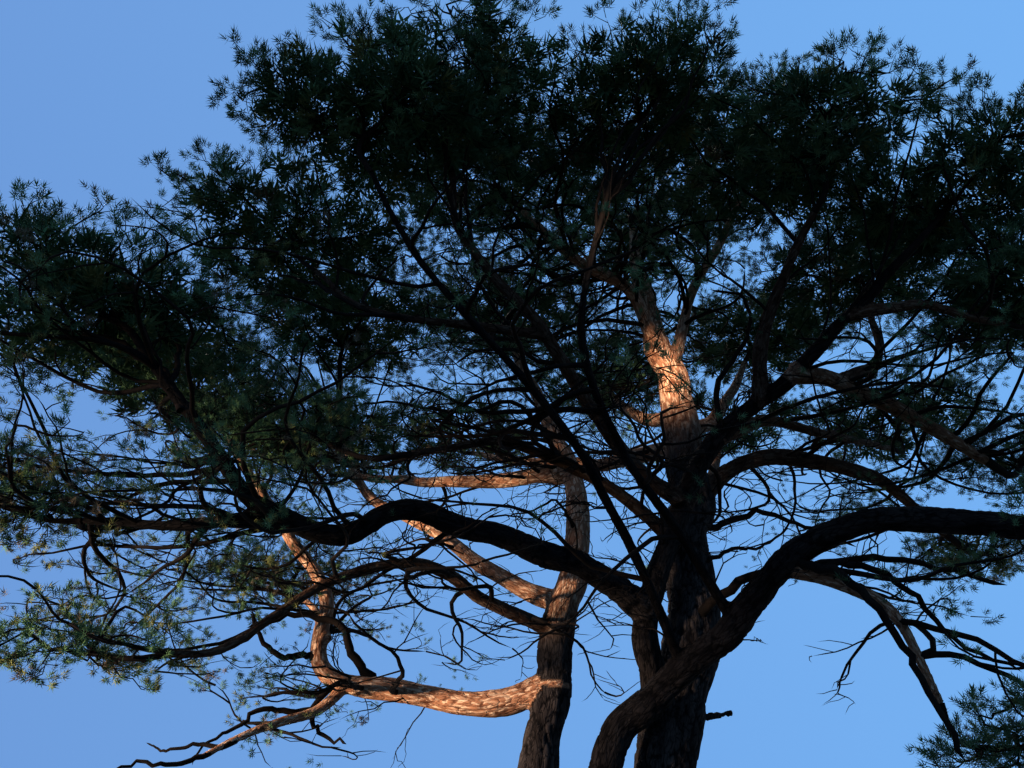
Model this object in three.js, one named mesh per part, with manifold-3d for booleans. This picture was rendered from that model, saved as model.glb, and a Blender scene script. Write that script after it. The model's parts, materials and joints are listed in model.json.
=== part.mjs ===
// A maritime pine grown as a clump of stems from one root, with a wide, flat-topped crown.
//
// Millimetres, +Z up. The origin is the middle of the flat cut at ground level. +X is to the
// right and +Y is away from someone who looks at the tree from its front.

import * as THREE from 'three';
import { mergeVertices } from 'three/addons/utils/BufferGeometryUtils.js';
import Module from 'manifold-3d';

const wasm = await Module();
wasm.setup();

// Clearances
const GAP = 0.3;                 // between a limb and what carries it
const TWIG_CLEARANCE = 40;       // between a twig or spray and any limb
const SPACE_MARGIN = 0.03;       // between the spaces of two masses, as a share of their size

// Limbs
const SIDES = { trunk: 10, thick: 8, thin: 6 };
const THICK = 150;               // least foot radius of a thick limb
const STEP_LENGTH = 1200;        // longest straight piece of a limb
const STEP_COUNT = { least: 4, most: 12 };
const CHECKS_PER_STEP = 4;       // places along one step where what comes too close is looked for
const LINE = ['catmullrom', 0.5];               // kind and tension of the smooth line of an axis
const TAPER_POWER = 1.25;        // 1 is an even taper, more keeps the thickness for longer
const TRUNK_TAPER_POWER = 2.2;
const COLLAR = { swell: 0.3, reach: 350 };      // swelling where a limb leaves its parent

// Root crown, cut flat at the ground
const FLARE = { swell: 0.32, reach: 650 };      // widening of each stem towards the ground
const BOLE = { width: 2500, depth: 1750, height: 900, sides: 12 };
const BOLE_PROFILE = [[1.06, -0.33], [1, 0], [0.8, 0.33], [0.42, 1]];    // shares: out, up
const BUTTRESS = { count: 6, sides: 5, uneven: 0.35, height: 1050, foot: 230, head: 110 };
const BUTTRESS_LINE = [[1.28, -0.22], [0.86, 0.3], [0.5, 1]];            // shares: out, up
const STUB = { from: [1750, 0, 3720], to: [2560, -20, 3860], foot: 75, tip: 55 };

// Foliage
const SEED_STEP = 1000;          // between the seeds of two masses
const UNDERSIDE = 0.6;           // depth of a mass below its middle, as a share of its height
const STEM = { sides: 5, steps: 2, fit: 0.95, bend: 0.4 };
const TWIG = { sides: 3, foot: 36, tip: 20, sunk: 0.2 };
const SPRAY = { teeth: 5, share: 0.5, notch: 0.52, thickness: 200, smallest: 0.4, shrink: 0.9 };
const CORE = { wide: 0.54, high: 0.43, roughness: 0.16, round: 7, rows: 4 };
const EDGE = { from: 1, to: 0.4, step: 0.03 };  // where a mass's edge is looked for, as shares

// Where the sprays of a mass lie: `top` of them above its middle and the others round its rim,
// at the rim heights by turns. The rest are how far chance moves each from an even layout.
const LAYOUT = {
  top: 2, topOut: 0.26, topUp: 0.6, rimUp: [0.3, -0.2],
  turn: 0.4, up: 0.12, smallest: 0.85, topLean: 0.12, rimLean: 0.35, lean: 0.15,
  lowest: 0.5, alongStem: 0.45,
};

// Colours
const BARK_GREY = 0x5b4c42;
const BARK_ORANGE = 0x9a5a38;
const NEEDLES = 0x35462a;

// Stems and boughs: the places that each axis runs through, its radius at foot and tip, and
// the mass of needles at its tip, with its middle, its half sizes and how many twigs it has.
// A stem that is split lists its pieces with the share of its length where each one ends.
const LIMBS = {
  trunk: {
    through: [[750, 0, 0], [1500, 0, 3100], [2100, 0, 5300], [2350, 0, 7900], [2400, 0, 9700],
      [2100, 0, 11000], [1900, 0, 12600], [1900, 0, 14300]],
    radius: [500, 80], power: TRUNK_TAPER_POWER, bark: BARK_GREY,
    needles: { middle: [2300, 800, 15100], half: [3100, 2700, 1150], twigs: 8, dense: true },
  },
  left_stem: {
    through: [[-720, 200, 0], [-400, 300, 3100], [-150, 350, 5000], [400, 600, 7400],
      [0, 1300, 9600], [-600, 1900, 11600], [-900, 2100, 12700]],
    radius: [360, 90], bark: BARK_GREY, pieces: { trunk: 0.17, left_stem: 1 },
    needles: { middle: [-1200, 2400, 13600], half: [2850, 2600, 1150], twigs: 8, dense: true },
  },
  front_stem: {
    through: [[0, -350, 0], [500, -800, 3000], [1100, -1000, 3800], [2400, -1900, 4800],
      [3300, -2800, 5600], [4200, -3500, 5600], [5200, -4500, 5100]],
    radius: [260, 145], bark: BARK_GREY,
    pieces: { trunk: 0.2, front_stem: 0.7, front_bough_right: 1 },
    needles: { middle: [6300, -5100, 5200], half: [1700, 1500, 800], twigs: 6 },
  },
  leaning_stem: {
    from: 'trunk',
    through: [[1500, -50, 3000], [1300, -300, 4100], [1300, -600, 5300], [1650, -700, 6300],
      [2600, -1200, 8000], [4000, -2100, 9000], [5600, -3100, 10400]],
    radius: [240, 85], bark: BARK_GREY,
    needles: { middle: [6800, -3600, 11600], half: [2700, 2450, 1100], twigs: 8, dense: true },
  },
  long_bough_left: {
    from: 'leaning_stem',
    through: [[1300, -600, 5300], [500, -1000, 5700], [-900, -1800, 6000], [-2500, -2500, 6200],
      [-3300, -2800, 5700], [-4300, -3200, 5900], [-4900, -3600, 6500], [-6100, -4000, 7900]],
    radius: [215, 70], bark: BARK_GREY,
    needles: { middle: [-7300, -3900, 8800], half: [2800, 2500, 1150], twigs: 8, dense: true },
  },
  long_bough_fork: {
    from: 'long_bough_left',
    through: [[-4200, -3160, 5860], [-5200, -3300, 5650], [-6700, -3300, 5700]],
    radius: [95, 45], bark: BARK_GREY,
    needles: { middle: [-7900, -3400, 5900], half: [1900, 1500, 800], twigs: 6 },
  },
  low_bough_left: {
    from: 'left_stem',
    through: [[-120, 350, 5200], [-1400, -300, 5600], [-2500, -800, 6000], [-3800, -1300, 5500],
      [-4900, -1900, 4400], [-5600, -2100, 4250]],
    radius: [120, 50], bark: BARK_ORANGE,
    needles: { middle: [-6800, -2200, 4250], half: [2000, 1600, 850], twigs: 6 },
  },
  orange_bough_left: {
    from: 'left_stem',
    through: [[-260, 300, 4300], [-1400, 500, 4100], [-2700, 800, 4300], [-4200, 1100, 4700],
      [-4400, 1200, 6100], [-5200, 1100, 7200], [-6600, 500, 9100]],
    radius: [215, 65], bark: BARK_ORANGE,
    needles: { middle: [-7500, -100, 9950], half: [2850, 2600, 1150], twigs: 8, dense: true },
  },
  drooping_bough_left: {
    from: 'orange_bough_left',
    through: [[-3700, 1000, 4560], [-4200, 850, 4050], [-5000, 200, 3600], [-5600, -200, 3200]],
    radius: [95, 40], bark: BARK_ORANGE,
  },
  low_bough_back: {
    from: 'orange_bough_left',
    through: [[-4260, 1150, 5300], [-4700, 1900, 6000], [-5200, 2700, 6500], [-5600, 3300, 6700]],
    radius: [90, 50], bark: BARK_ORANGE,
    needles: { middle: [-6000, 3900, 7300], half: [2300, 1900, 850], twigs: 6 },
  },
  orange_bough_back: {
    from: 'left_stem',
    through: [[0, 430, 5700], [-1100, 1000, 6400], [-2300, 1500, 7400], [-4000, 2000, 8600],
      [-4700, 1800, 10200], [-4800, 1600, 11200]],
    radius: [165, 65], bark: BARK_ORANGE,
    needles: { middle: [-4700, 1300, 12400], half: [2900, 2600, 1150], twigs: 8, dense: true },
  },
  middle_bough_left: {
    from: 'leaning_stem',
    through: [[1760, -760, 6500], [800, -1000, 7250], [-900, -1600, 7800], [-2500, -2200, 7300]],
    radius: [115, 55], bark: BARK_ORANGE,
    needles: { middle: [-4300, -2400, 7600], half: [1900, 1500, 850], twigs: 6 },
  },
  climbing_bough_left: {
    from: 'leaning_stem',
    through: [[2050, -880, 7050], [1300, -1200, 7450], [500, -1900, 8200], [-400, -2900, 9200],
      [-1700, -3700, 10500], [-1900, -4200, 11500]],
    radius: [135, 60], bark: BARK_ORANGE,
    needles: { middle: [-1500, -4600, 12900], half: [2750, 2450, 1100], twigs: 8, dense: true },
  },
  climbing_bough_fork: {
    from: 'climbing_bough_left',
    through: [[-350, -2850, 9150], [-1400, -3000, 9200], [-3200, -3300, 9300],
      [-4300, -2900, 10500]],
    radius: [80, 45], bark: BARK_ORANGE,
    needles: { middle: [-5000, -2500, 11650], half: [2850, 2600, 1150], twigs: 8, dense: true },
  },
  slim_bough_front: {
    from: 'front_stem',
    through: [[2300, -1850, 4750], [1500, -2500, 5900], [700, -3200, 6800], [100, -4100, 8200],
      [500, -4600, 10200], [1000, -4700, 11500]],
    radius: [75, 45], bark: BARK_ORANGE,
    needles: { middle: [1300, -4500, 12700], half: [2450, 2450, 1100], twigs: 8, dense: true },
  },
  slim_bough_front_left: {
    from: 'front_stem',
    through: [[1600, -1300, 4250], [700, -2500, 5850], [-300, -3700, 7100], [-2200, -4800, 9000],
      [-3000, -5100, 10500]],
    radius: [75, 45], bark: BARK_ORANGE,
    needles: { middle: [-3100, -5000, 11700], half: [2600, 2400, 1100], twigs: 8, dense: true },
  },
  upright_bough_right: {
    from: 'leaning_stem',
    through: [[3400, -1700, 8600], [3500, -2200, 9600], [3800, -2900, 10400],
      [4200, -3700, 11100]],
    radius: [135, 65], bark: BARK_ORANGE,
    needles: { middle: [4400, -4000, 12150], half: [2800, 2500, 1150], twigs: 8, dense: true },
  },
  upper_bough_right: {
    from: 'leaning_stem',
    through: [[4900, -2660, 9760], [6000, -2700, 9900], [6900, -2600, 9700], [7600, -2450, 9700]],
    radius: [105, 55], bark: BARK_ORANGE,
    needles: { middle: [8400, -2300, 10350], half: [2450, 2300, 1050], twigs: 5, dense: true },
  },
  far_bough_right: {
    from: 'leaning_stem',
    through: [[3900, -2050, 8950], [4900, -1700, 8950], [6300, -1200, 8500], [7600, -700, 7950]],
    radius: [155, 90], bark: BARK_ORANGE,
    needles: { middle: [8800, -100, 8400], half: [2000, 1800, 850], twigs: 6 },
  },
  high_bough_right: {
    from: 'far_bough_right',
    through: [[4800, -1730, 8960], [5900, -1300, 9800], [6400, -700, 11600]],
    radius: [100, 55], bark: BARK_ORANGE,
    needles: { middle: [6700, -200, 12700], half: [2950, 2600, 1150], twigs: 8, dense: true },
  },
  middle_bough_right: {
    from: 'trunk',
    through: [[2330, 0, 7300], [3100, -100, 8050], [4100, -300, 8200], [5900, 100, 8000],
      [7500, 1100, 7300]],
    radius: [170, 85], bark: BARK_ORANGE,
    needles: { middle: [8600, 2100, 7200], half: [1700, 1550, 800], twigs: 6 },
  },
  back_bough_right: {
    from: 'leaning_stem',
    through: [[2700, -1260, 8080], [3800, -750, 8750], [5200, 50, 8900], [7400, 1900, 9600]],
    radius: [110, 55], bark: BARK_ORANGE,
    needles: { middle: [8200, 2900, 10800], half: [2600, 2450, 1100], twigs: 8, dense: true },
  },
  drooping_bough_right: {
    from: 'front_stem',
    through: [[3000, -2500, 5320], [3600, -2750, 5000], [4100, -2950, 4500], [4500, -2700, 3500]],
    radius: [100, 45], bark: BARK_ORANGE,
    needles: { middle: [5600, -3000, 2950], half: [1700, 1600, 850], twigs: 6 },
  },
  top_bough_left: {
    from: 'trunk',
    through: [[2160, 0, 10700], [1500, -800, 11800], [300, -1400, 12200], [-700, -1700, 13200]],
    radius: [155, 65], bark: BARK_ORANGE,
    needles: { middle: [-1300, -1500, 14200], half: [2950, 2600, 1150], twigs: 8, dense: true },
  },
  top_bough_right: {
    from: 'trunk',
    through: [[2300, 0, 10300], [3000, -100, 12300], [3600, -700, 13200], [3900, -1500, 13700]],
    radius: [135, 65], bark: BARK_ORANGE,
    needles: { middle: [4200, -1800, 14550], half: [2850, 2550, 1150], twigs: 8, dense: true },
  },
};

// Boughs on the far side: the height where each leaves its stem, and where its tip is. They
// climb slowly at first, like the ones in front.
const BACK_CLIMB = 1.5;
const BACK_SHARES = [0, 0.35, 0.7, 1];
const BACK_RADIUS = [165, 65];
const BACK_HALF = [2900, 2600, 1150];
const BACK_BOUGHS = [
  { from: 'trunk', leaves: 8600, tip: [-1900, 4600, 10900], lift: [-500, 800, 900] },
  { from: 'trunk', leaves: 9400, tip: [1700, 4100, 12400], lift: [100, 800, 1000] },
  { from: 'trunk', leaves: 9000, tip: [4800, 2500, 12300], lift: [500, 600, 1000] },
  { from: 'left_stem', leaves: 8500, tip: [-4900, 3600, 9800], lift: [-800, 400, 1000] },
  { from: 'trunk', leaves: 7900, tip: [4600, 5000, 11300], lift: [500, 600, 900] },
];

const vec = (place) => new THREE.Vector3(...place);

// Numbers from 0 to 1 that are the same for the same seed.
function seededRandom(seed) {
  let state = seed >>> 0;
  return () => {
    state = (state + 0x6D2B79F5) >>> 0;
    let mixed = Math.imul(state ^ (state >>> 15), state | 1);
    mixed ^= mixed + Math.imul(mixed ^ (mixed >>> 7), mixed | 61);
    return ((mixed ^ (mixed >>> 14)) >>> 0) / 4294967296;
  };
}

// Turns a three.js geometry into a solid, with its shared vertices merged.
function toSolid(geometry) {
  geometry.deleteAttribute('normal');
  geometry.deleteAttribute('uv');
  const merged = mergeVertices(geometry, 1e-3);
  return new wasm.Manifold(new wasm.Mesh({
    numProp: 3,
    vertProperties: new Float32Array(merged.attributes.position.array),
    triVerts: new Uint32Array(merged.index.array),
  }));
}

// Keeps the biggest body of a solid, so that loose scraps and sealed hollows go.
function biggestBody(solid) {
  return solid.decompose().reduce((best, body) => (body.volume() > best.volume() ? body : best));
}

function toMesh(name, solid, material) {
  const { vertProperties, triVerts } = solid.getMesh();
  const geometry = new THREE.BufferGeometry();
  geometry.setAttribute('position', new THREE.BufferAttribute(new Float32Array(vertProperties), 3));
  geometry.setIndex(new THREE.BufferAttribute(new Uint32Array(triVerts), 1));
  geometry.computeVertexNormals();
  const mesh = new THREE.Mesh(geometry, material);
  mesh.name = name;
  return mesh;
}

// A closed cylinder bent along steps `first` to `last` of an axis.
function sweep(axis, sides, first, last, grow = 0, lift = 0) {
  const steps = last - first;
  const tube = new THREE.CylinderGeometry(1, 1, steps, sides, steps);
  const place = tube.attributes.position;
  for (let i = 0; i < place.count; i += 1) {
    const step = Math.round(place.getY(i) + steps / 2) + first;
    const radius = axis.radii[step] + grow;
    const point = axis.points[step].clone()
      .addScaledVector(axis.frames.normals[step], place.getX(i) * radius)
      .addScaledVector(axis.frames.binormals[step], -place.getZ(i) * radius);
    if (step === first) {
      point.addScaledVector(axis.frames.tangents[step], lift);
    }
    place.setXYZ(i, point.x, point.y, point.z);
  }
  return toSolid(tube);
}

// Points, frames and radii at even steps along a smooth line through the given places.
function axisThrough(places, steps, radiusAt) {
  const curve = new THREE.CatmullRomCurve3(places, false, ...LINE);
  const length = curve.getLength();
  return {
    steps,
    points: curve.getSpacedPoints(steps),
    frames: curve.computeFrenetFrames(steps, false),
    radii: Array.from({ length: steps + 1 }, (_, i) => radiusAt(i / steps, length)),
    finer: curve.getSpacedPoints(steps * CHECKS_PER_STEP),
  };
}

const sidesOf = (limb) => (limb.radius[0] >= THICK ? SIDES.thick : SIDES.thin);

// The axis of a limb, with its taper, its collar or its widening at the ground.
function limbAxis(limb) {
  const places = limb.through.map(vec);
  const reach = new THREE.CatmullRomCurve3(places, false, ...LINE).getLength();
  const steps = THREE.MathUtils.clamp(Math.ceil(reach / STEP_LENGTH),
    STEP_COUNT.least, STEP_COUNT.most);
  const [foot, tip] = limb.radius;
  const swelling = limb.from ? COLLAR : FLARE;
  return axisThrough(places, steps, (share, length) => {
    const taper = tip + (foot - tip) * (1 - share ** (limb.power ?? TAPER_POWER));
    return taper * (1 + swelling.swell * Math.exp(-share * length / swelling.reach));
  });
}

// A bough on the far side as an entry like those in LIMBS.
function backBough({ from, leaves, tip, lift }) {
  const parent = LIMBS[from].through;
  const above = parent.findIndex((place) => place[2] > leaves);
  const share = (leaves - parent[above - 1][2]) / (parent[above][2] - parent[above - 1][2]);
  const foot = vec(parent[above - 1]).lerp(vec(parent[above]), share);
  const through = BACK_SHARES.map((along) => {
    const place = foot.clone().lerp(vec(tip), along);
    place.z = foot.z + (tip[2] - foot.z) * along ** BACK_CLIMB;
    return place.toArray();
  });
  const middle = tip.map((value, i) => value + lift[i]);
  return {
    from, through, radius: BACK_RADIUS, bark: BARK_ORANGE,
    needles: { middle, half: BACK_HALF, twigs: 7, dense: true },
  };
}

BACK_BOUGHS.forEach((bough, i) => {
  LIMBS[`back_bough_${i + 1}`] = backBough(bough);
});

const axes = {};
for (const [name, limb] of Object.entries(LIMBS)) {
  axes[name] = limbAxis(limb);
}

// The steps of a limb that belong to each of its pieces.
function piecesOf(name) {
  const { steps } = axes[name];
  const pieces = [];
  let first = 0;
  for (const [piece, end] of Object.entries(LIMBS[name].pieces ?? { [name]: 1 })) {
    const last = Math.round(end * steps);
    pieces.push({ piece, first, last });
    first = last;
  }
  return pieces;
}

// The root crown that the stems share, with its buttresses.
function rootCrown() {
  const outer = BOLE_PROFILE.map(([out, up]) => new THREE.Vector2(out, up));
  const profile = [new THREE.Vector2(0, outer[0].y), ...outer, new THREE.Vector2(0, outer.at(-1).y)];
  const bole = new THREE.LatheGeometry(profile, BOLE.sides);
  bole.rotateX(Math.PI / 2);
  bole.scale(BOLE.width / 2, BOLE.depth / 2, BOLE.height);
  let crown = toSolid(bole);
  for (let i = 0; i < BUTTRESS.count; i += 1) {
    const turn = (i / BUTTRESS.count) * Math.PI * 2 + BUTTRESS.uneven * Math.sin(5 * i);
    const places = BUTTRESS_LINE.map(([out, up]) => new THREE.Vector3(
      Math.cos(turn) * out * BOLE.width / 2, Math.sin(turn) * out * BOLE.depth / 2,
      up * BUTTRESS.height));
    const axis = axisThrough(places, places.length,
      (share) => THREE.MathUtils.lerp(BUTTRESS.foot, BUTTRESS.head, share));
    crown = crown.add(sweep(axis, BUTTRESS.sides, 0, axis.steps));
  }
  return crown;
}

// The trunk with the feet of the other stems and the stub of a lost bough, cut at the ground.
function trunkSolid() {
  let solid = sweep(axes.trunk, SIDES.trunk, 0, axes.trunk.steps).add(rootCrown());
  for (const stem of ['left_stem', 'front_stem']) {
    const foot = piecesOf(stem)[0];
    solid = solid.add(sweep(axes[stem], SIDES.thick, foot.first, foot.last));
  }
  const stub = axisThrough([vec(STUB.from), vec(STUB.to)], 1,
    (share) => THREE.MathUtils.lerp(STUB.foot, STUB.tip, share));
  solid = solid.add(sweep(stub, SIDES.thin, 0, stub.steps));
  const below = new THREE.BoxGeometry(10 * BOLE.width, 10 * BOLE.width, BOLE.width);
  below.translate(0, 0, -BOLE.width / 2);
  return biggestBody(solid.subtract(toSolid(below)));
}

// Every limb as a list of balls, for telling what comes too close to one.
const obstacles = Object.values(axes).flatMap((axis) => axis.finer.map((centre, i) => ({
  centre,
  radius: axis.radii[Math.round(i / CHECKS_PER_STEP)],
})));

const masses = Object.entries(LIMBS).filter(([, limb]) => limb.needles).map(([name, limb]) => ({
  name,
  axis: axes[name],
  middle: vec(limb.needles.middle),
  half: limb.needles.half,
  twigs: limb.needles.twigs,
  dense: limb.needles.dense,
}));

// How far a place is from the middle of a mass: 1 is at the edge of its space.
function reachIn(mass, place) {
  const offset = place.clone().sub(mass.middle);
  const height = mass.half[2] * (offset.z < 0 ? UNDERSIDE : 1);
  return Math.hypot(offset.x / mass.half[0], offset.y / mass.half[1], offset.z / height);
}

// A mass keeps to the places that are nearer to it than to any other mass.
function inSpace(mass, place) {
  const reach = reachIn(mass, place);
  return reach < 1 && masses.every((other) => other === mass
    || reachIn(other, place) > reach + SPACE_MARGIN);
}

function clearOfLimbs(place, radius) {
  return obstacles.every((ball) => ball.centre.distanceTo(place)
    > ball.radius + radius + TWIG_CLEARANCE);
}

function bladeClearOfLimbs({ centre, normal, radius }) {
  return obstacles.every((ball) => {
    const offset = ball.centre.clone().sub(centre);
    const height = Math.abs(offset.dot(normal));
    const across = Math.sqrt(Math.max(offset.lengthSq() - height * height, 0));
    return height > ball.radius + SPRAY.thickness / 2 + TWIG_CLEARANCE
      || across > ball.radius + radius + TWIG_CLEARANCE;
  });
}

// The stem of a mass, from just past its bough's tip to the middle of its space.
function stemAxis(mass) {
  const { axis } = mass;
  const tip = axis.points[axis.steps].clone().addScaledVector(axis.frames.tangents[axis.steps], GAP);
  const reach = tip.distanceTo(mass.middle);
  const bend = tip.clone().addScaledVector(axis.frames.tangents[axis.steps], reach * STEM.bend);
  const foot = axis.radii[axis.steps] * STEM.fit;
  return axisThrough([tip, bend, mass.middle], STEM.steps,
    (share) => THREE.MathUtils.lerp(foot, TWIG.foot, share));
}

// A toothed blade that stands for a spray of needles: a flat star with a thick middle. It is
// made from a ball of two rows, whose equator gets the teeth.
function spray({ centre, normal, radius, spin }) {
  const blade = new THREE.SphereGeometry(1, SPRAY.teeth * 2, 2);
  const place = blade.attributes.position;
  for (let i = 0; i < place.count; i += 1) {
    const [x, y, z] = [place.getX(i), place.getY(i), place.getZ(i)];
    const onEquator = Math.abs(y) < Math.abs(x) + Math.abs(z);
    if (onEquator) {
      const tooth = Math.round(Math.atan2(z, x) / (Math.PI / SPRAY.teeth));
      const reach = Math.abs(tooth) % 2 === 0 ? radius : radius * SPRAY.notch;
      place.setXYZ(i, x * reach, 0, z * reach);
    } else {
      place.setXYZ(i, 0, y * SPRAY.thickness / 2, 0);
    }
  }
  blade.rotateY(spin);
  blade.applyQuaternion(new THREE.Quaternion().setFromUnitVectors(new THREE.Vector3(0, 1, 0), normal));
  blade.translate(centre.x, centre.y, centre.z);
  return blade;
}

// The tips of a spray's teeth, for keeping them within the mass's space.
function sprayTips({ centre, normal, radius, spin }) {
  const turn = new THREE.Quaternion().setFromUnitVectors(new THREE.Vector3(0, 1, 0), normal);
  return Array.from({ length: SPRAY.teeth * 2 }, (_, i) => {
    const angle = i * Math.PI / SPRAY.teeth - spin;
    return new THREE.Vector3(Math.cos(angle), 0, Math.sin(angle)).multiplyScalar(radius)
      .applyQuaternion(turn).add(centre);
  });
}

// The farthest place of a mass in one direction, at one height, before its edge or a neighbour.
function farthest(mass, turn, up) {
  for (let share = EDGE.from; share > EDGE.to; share -= EDGE.step) {
    const place = new THREE.Vector3(Math.cos(turn) * share * mass.half[0],
      Math.sin(turn) * share * mass.half[1],
      up * mass.half[2] * (up < 0 ? UNDERSIDE : 1)).add(mass.middle);
    if (inSpace(mass, place)) {
      return place;
    }
  }
  return null;
}

// The sprays of a mass: some on top and the others round its rim, each as far out as it fits.
function sprayPlan(mass, seed) {
  const random = seededRandom(seed);
  const start = random() * Math.PI * 2;
  const rim = mass.twigs - LAYOUT.top;
  const plan = [];
  for (let i = 0; i < mass.twigs; i += 1) {
    const onTop = i >= rim;
    const turn = start + (onTop ? (i - rim) * Math.PI : (i / rim) * Math.PI * 2)
      + (random() - 0.5) * LAYOUT.turn;
    const up = (onTop ? LAYOUT.topUp : LAYOUT.rimUp[i % 2]) + (random() - 0.5) * LAYOUT.up;
    const size = THREE.MathUtils.lerp(LAYOUT.smallest, 1, random());
    const lean = (onTop ? LAYOUT.topLean : LAYOUT.rimLean) + LAYOUT.lean * random();
    const along = LAYOUT.lowest + LAYOUT.alongStem * random();
    const edge = farthest(mass, turn, up);
    if (edge) {
      plan.push({ onTop, turn, edge, size, lean, along });
    }
  }
  return plan;
}

// Where one spray lies when its blade has this radius.
function layOut(mass, { onTop, turn, edge, lean }, radius) {
  const outward = new THREE.Vector3(Math.cos(turn), Math.sin(turn), 0);
  const normal = outward.clone().multiplyScalar(lean).add(new THREE.Vector3(0, 0, 1)).normalize();
  const centre = edge.clone();
  if (onTop) {
    centre.x = mass.middle.x + outward.x * LAYOUT.topOut * mass.half[0];
    centre.y = mass.middle.y + outward.y * LAYOUT.topOut * mass.half[1];
  } else {
    centre.addScaledVector(outward, -radius);
  }
  return { centre, normal, radius, spin: turn };
}

// A twig from the stem into the thick part of a spray, towards the middle of the mass.
function twigAxis(stem, along, { centre, normal, radius, spin }) {
  const foot = stem.finer[Math.round(along * (stem.finer.length - 1))];
  const inward = new THREE.Vector3(-Math.cos(spin), -Math.sin(spin), 0).projectOnPlane(normal);
  const end = centre.clone().addScaledVector(inward, TWIG.sunk * radius);
  return axisThrough([foot, end], 1, (share) => THREE.MathUtils.lerp(TWIG.foot, TWIG.tip, share));
}

// A rounded, uneven core for a dense mass, cut clear of the limbs.
function coreSolid(mass, random, limbTools) {
  const ball = new THREE.SphereGeometry(1, CORE.round, CORE.rows);
  ball.rotateX(Math.PI / 2);
  const core = mergeVertices(ball.deleteAttribute('normal').deleteAttribute('uv'), 1e-3);
  const place = core.attributes.position;
  for (let i = 0; i < place.count; i += 1) {
    const swell = 1 + CORE.roughness * (2 * random() - 1);
    place.setXYZ(i, place.getX(i) * mass.half[0] * CORE.wide * swell + mass.middle.x,
      place.getY(i) * mass.half[1] * CORE.wide * swell + mass.middle.y,
      place.getZ(i) * mass.half[2] * CORE.high * swell + mass.middle.z);
  }
  return limbTools.reduce((solid, tool) => solid.subtract(tool), toSolid(core));
}

// A mass: its stem, its core if it is dense, and each spray at the largest size that fits.
function massSolid(mass, seed, limbTools) {
  const stem = stemAxis(mass);
  let solid = sweep(stem, STEM.sides, 0, STEM.steps);
  if (mass.dense) {
    solid = solid.add(coreSolid(mass, seededRandom(seed + 1), limbTools));
  }
  for (const plan of sprayPlan(mass, seed)) {
    for (let size = plan.size; size >= SPRAY.smallest; size *= SPRAY.shrink) {
      const blade = layOut(mass, plan, SPRAY.share * mass.half[1] * size);
      const twig = twigAxis(stem, plan.along, blade);
      if (sprayTips(blade).every((place) => inSpace(mass, place)) && bladeClearOfLimbs(blade)
        && twig.finer.slice(1).every((place) => clearOfLimbs(place, TWIG.foot))) {
        solid = solid.add(sweep(twig, TWIG.sides, 0, twig.steps)).add(toSolid(spray(blade)));
        break;
      }
    }
  }
  return biggestBody(solid);
}

const barkMaterial = (colour) => new THREE.MeshStandardMaterial({
  color: colour, roughness: 0.95, metalness: 0,
});
const needleMaterial = new THREE.MeshStandardMaterial({
  color: NEEDLES, roughness: 0.7, metalness: 0,
});

const tree = new THREE.Group();
tree.add(toMesh('trunk', trunkSolid(), barkMaterial(BARK_GREY)));

// Each limb is cut clear of the ones before it.
const tools = [sweep(axes.trunk, SIDES.trunk, 0, axes.trunk.steps, GAP)];
for (const name of Object.keys(LIMBS).filter((key) => key !== 'trunk')) {
  for (const { piece, first, last } of piecesOf(name).filter((entry) => entry.piece !== 'trunk')) {
    const lift = first > 0 ? GAP : 0;
    const whole = sweep(axes[name], sidesOf(LIMBS[name]), first, last, 0, lift);
    const solid = biggestBody(tools.reduce((rest, tool) => rest.subtract(tool), whole));
    tree.add(toMesh(piece, solid, barkMaterial(LIMBS[name].bark)));
    tools.push(sweep(axes[name], sidesOf(LIMBS[name]), first, last, GAP, lift));
  }
}

masses.forEach((mass, i) => {
  const solid = massSolid(mass, SEED_STEP * (i + 1), tools);
  const place = mass.name === 'trunk' ? 'top' : mass.name.replace(/_(stem|bough)/, '');
  tree.add(toMesh(`needles_${place}`, solid, needleMaterial));
});

export default tree;
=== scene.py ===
"""An old maritime pine: bark-covered stems and boughs, crooked twigs and tufts of needles.

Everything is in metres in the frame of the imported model: +Z up, +X to the right and +Y away
from the camera, with the origin in the middle of the flat cut at ground level.
"""

import json
import math

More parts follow.
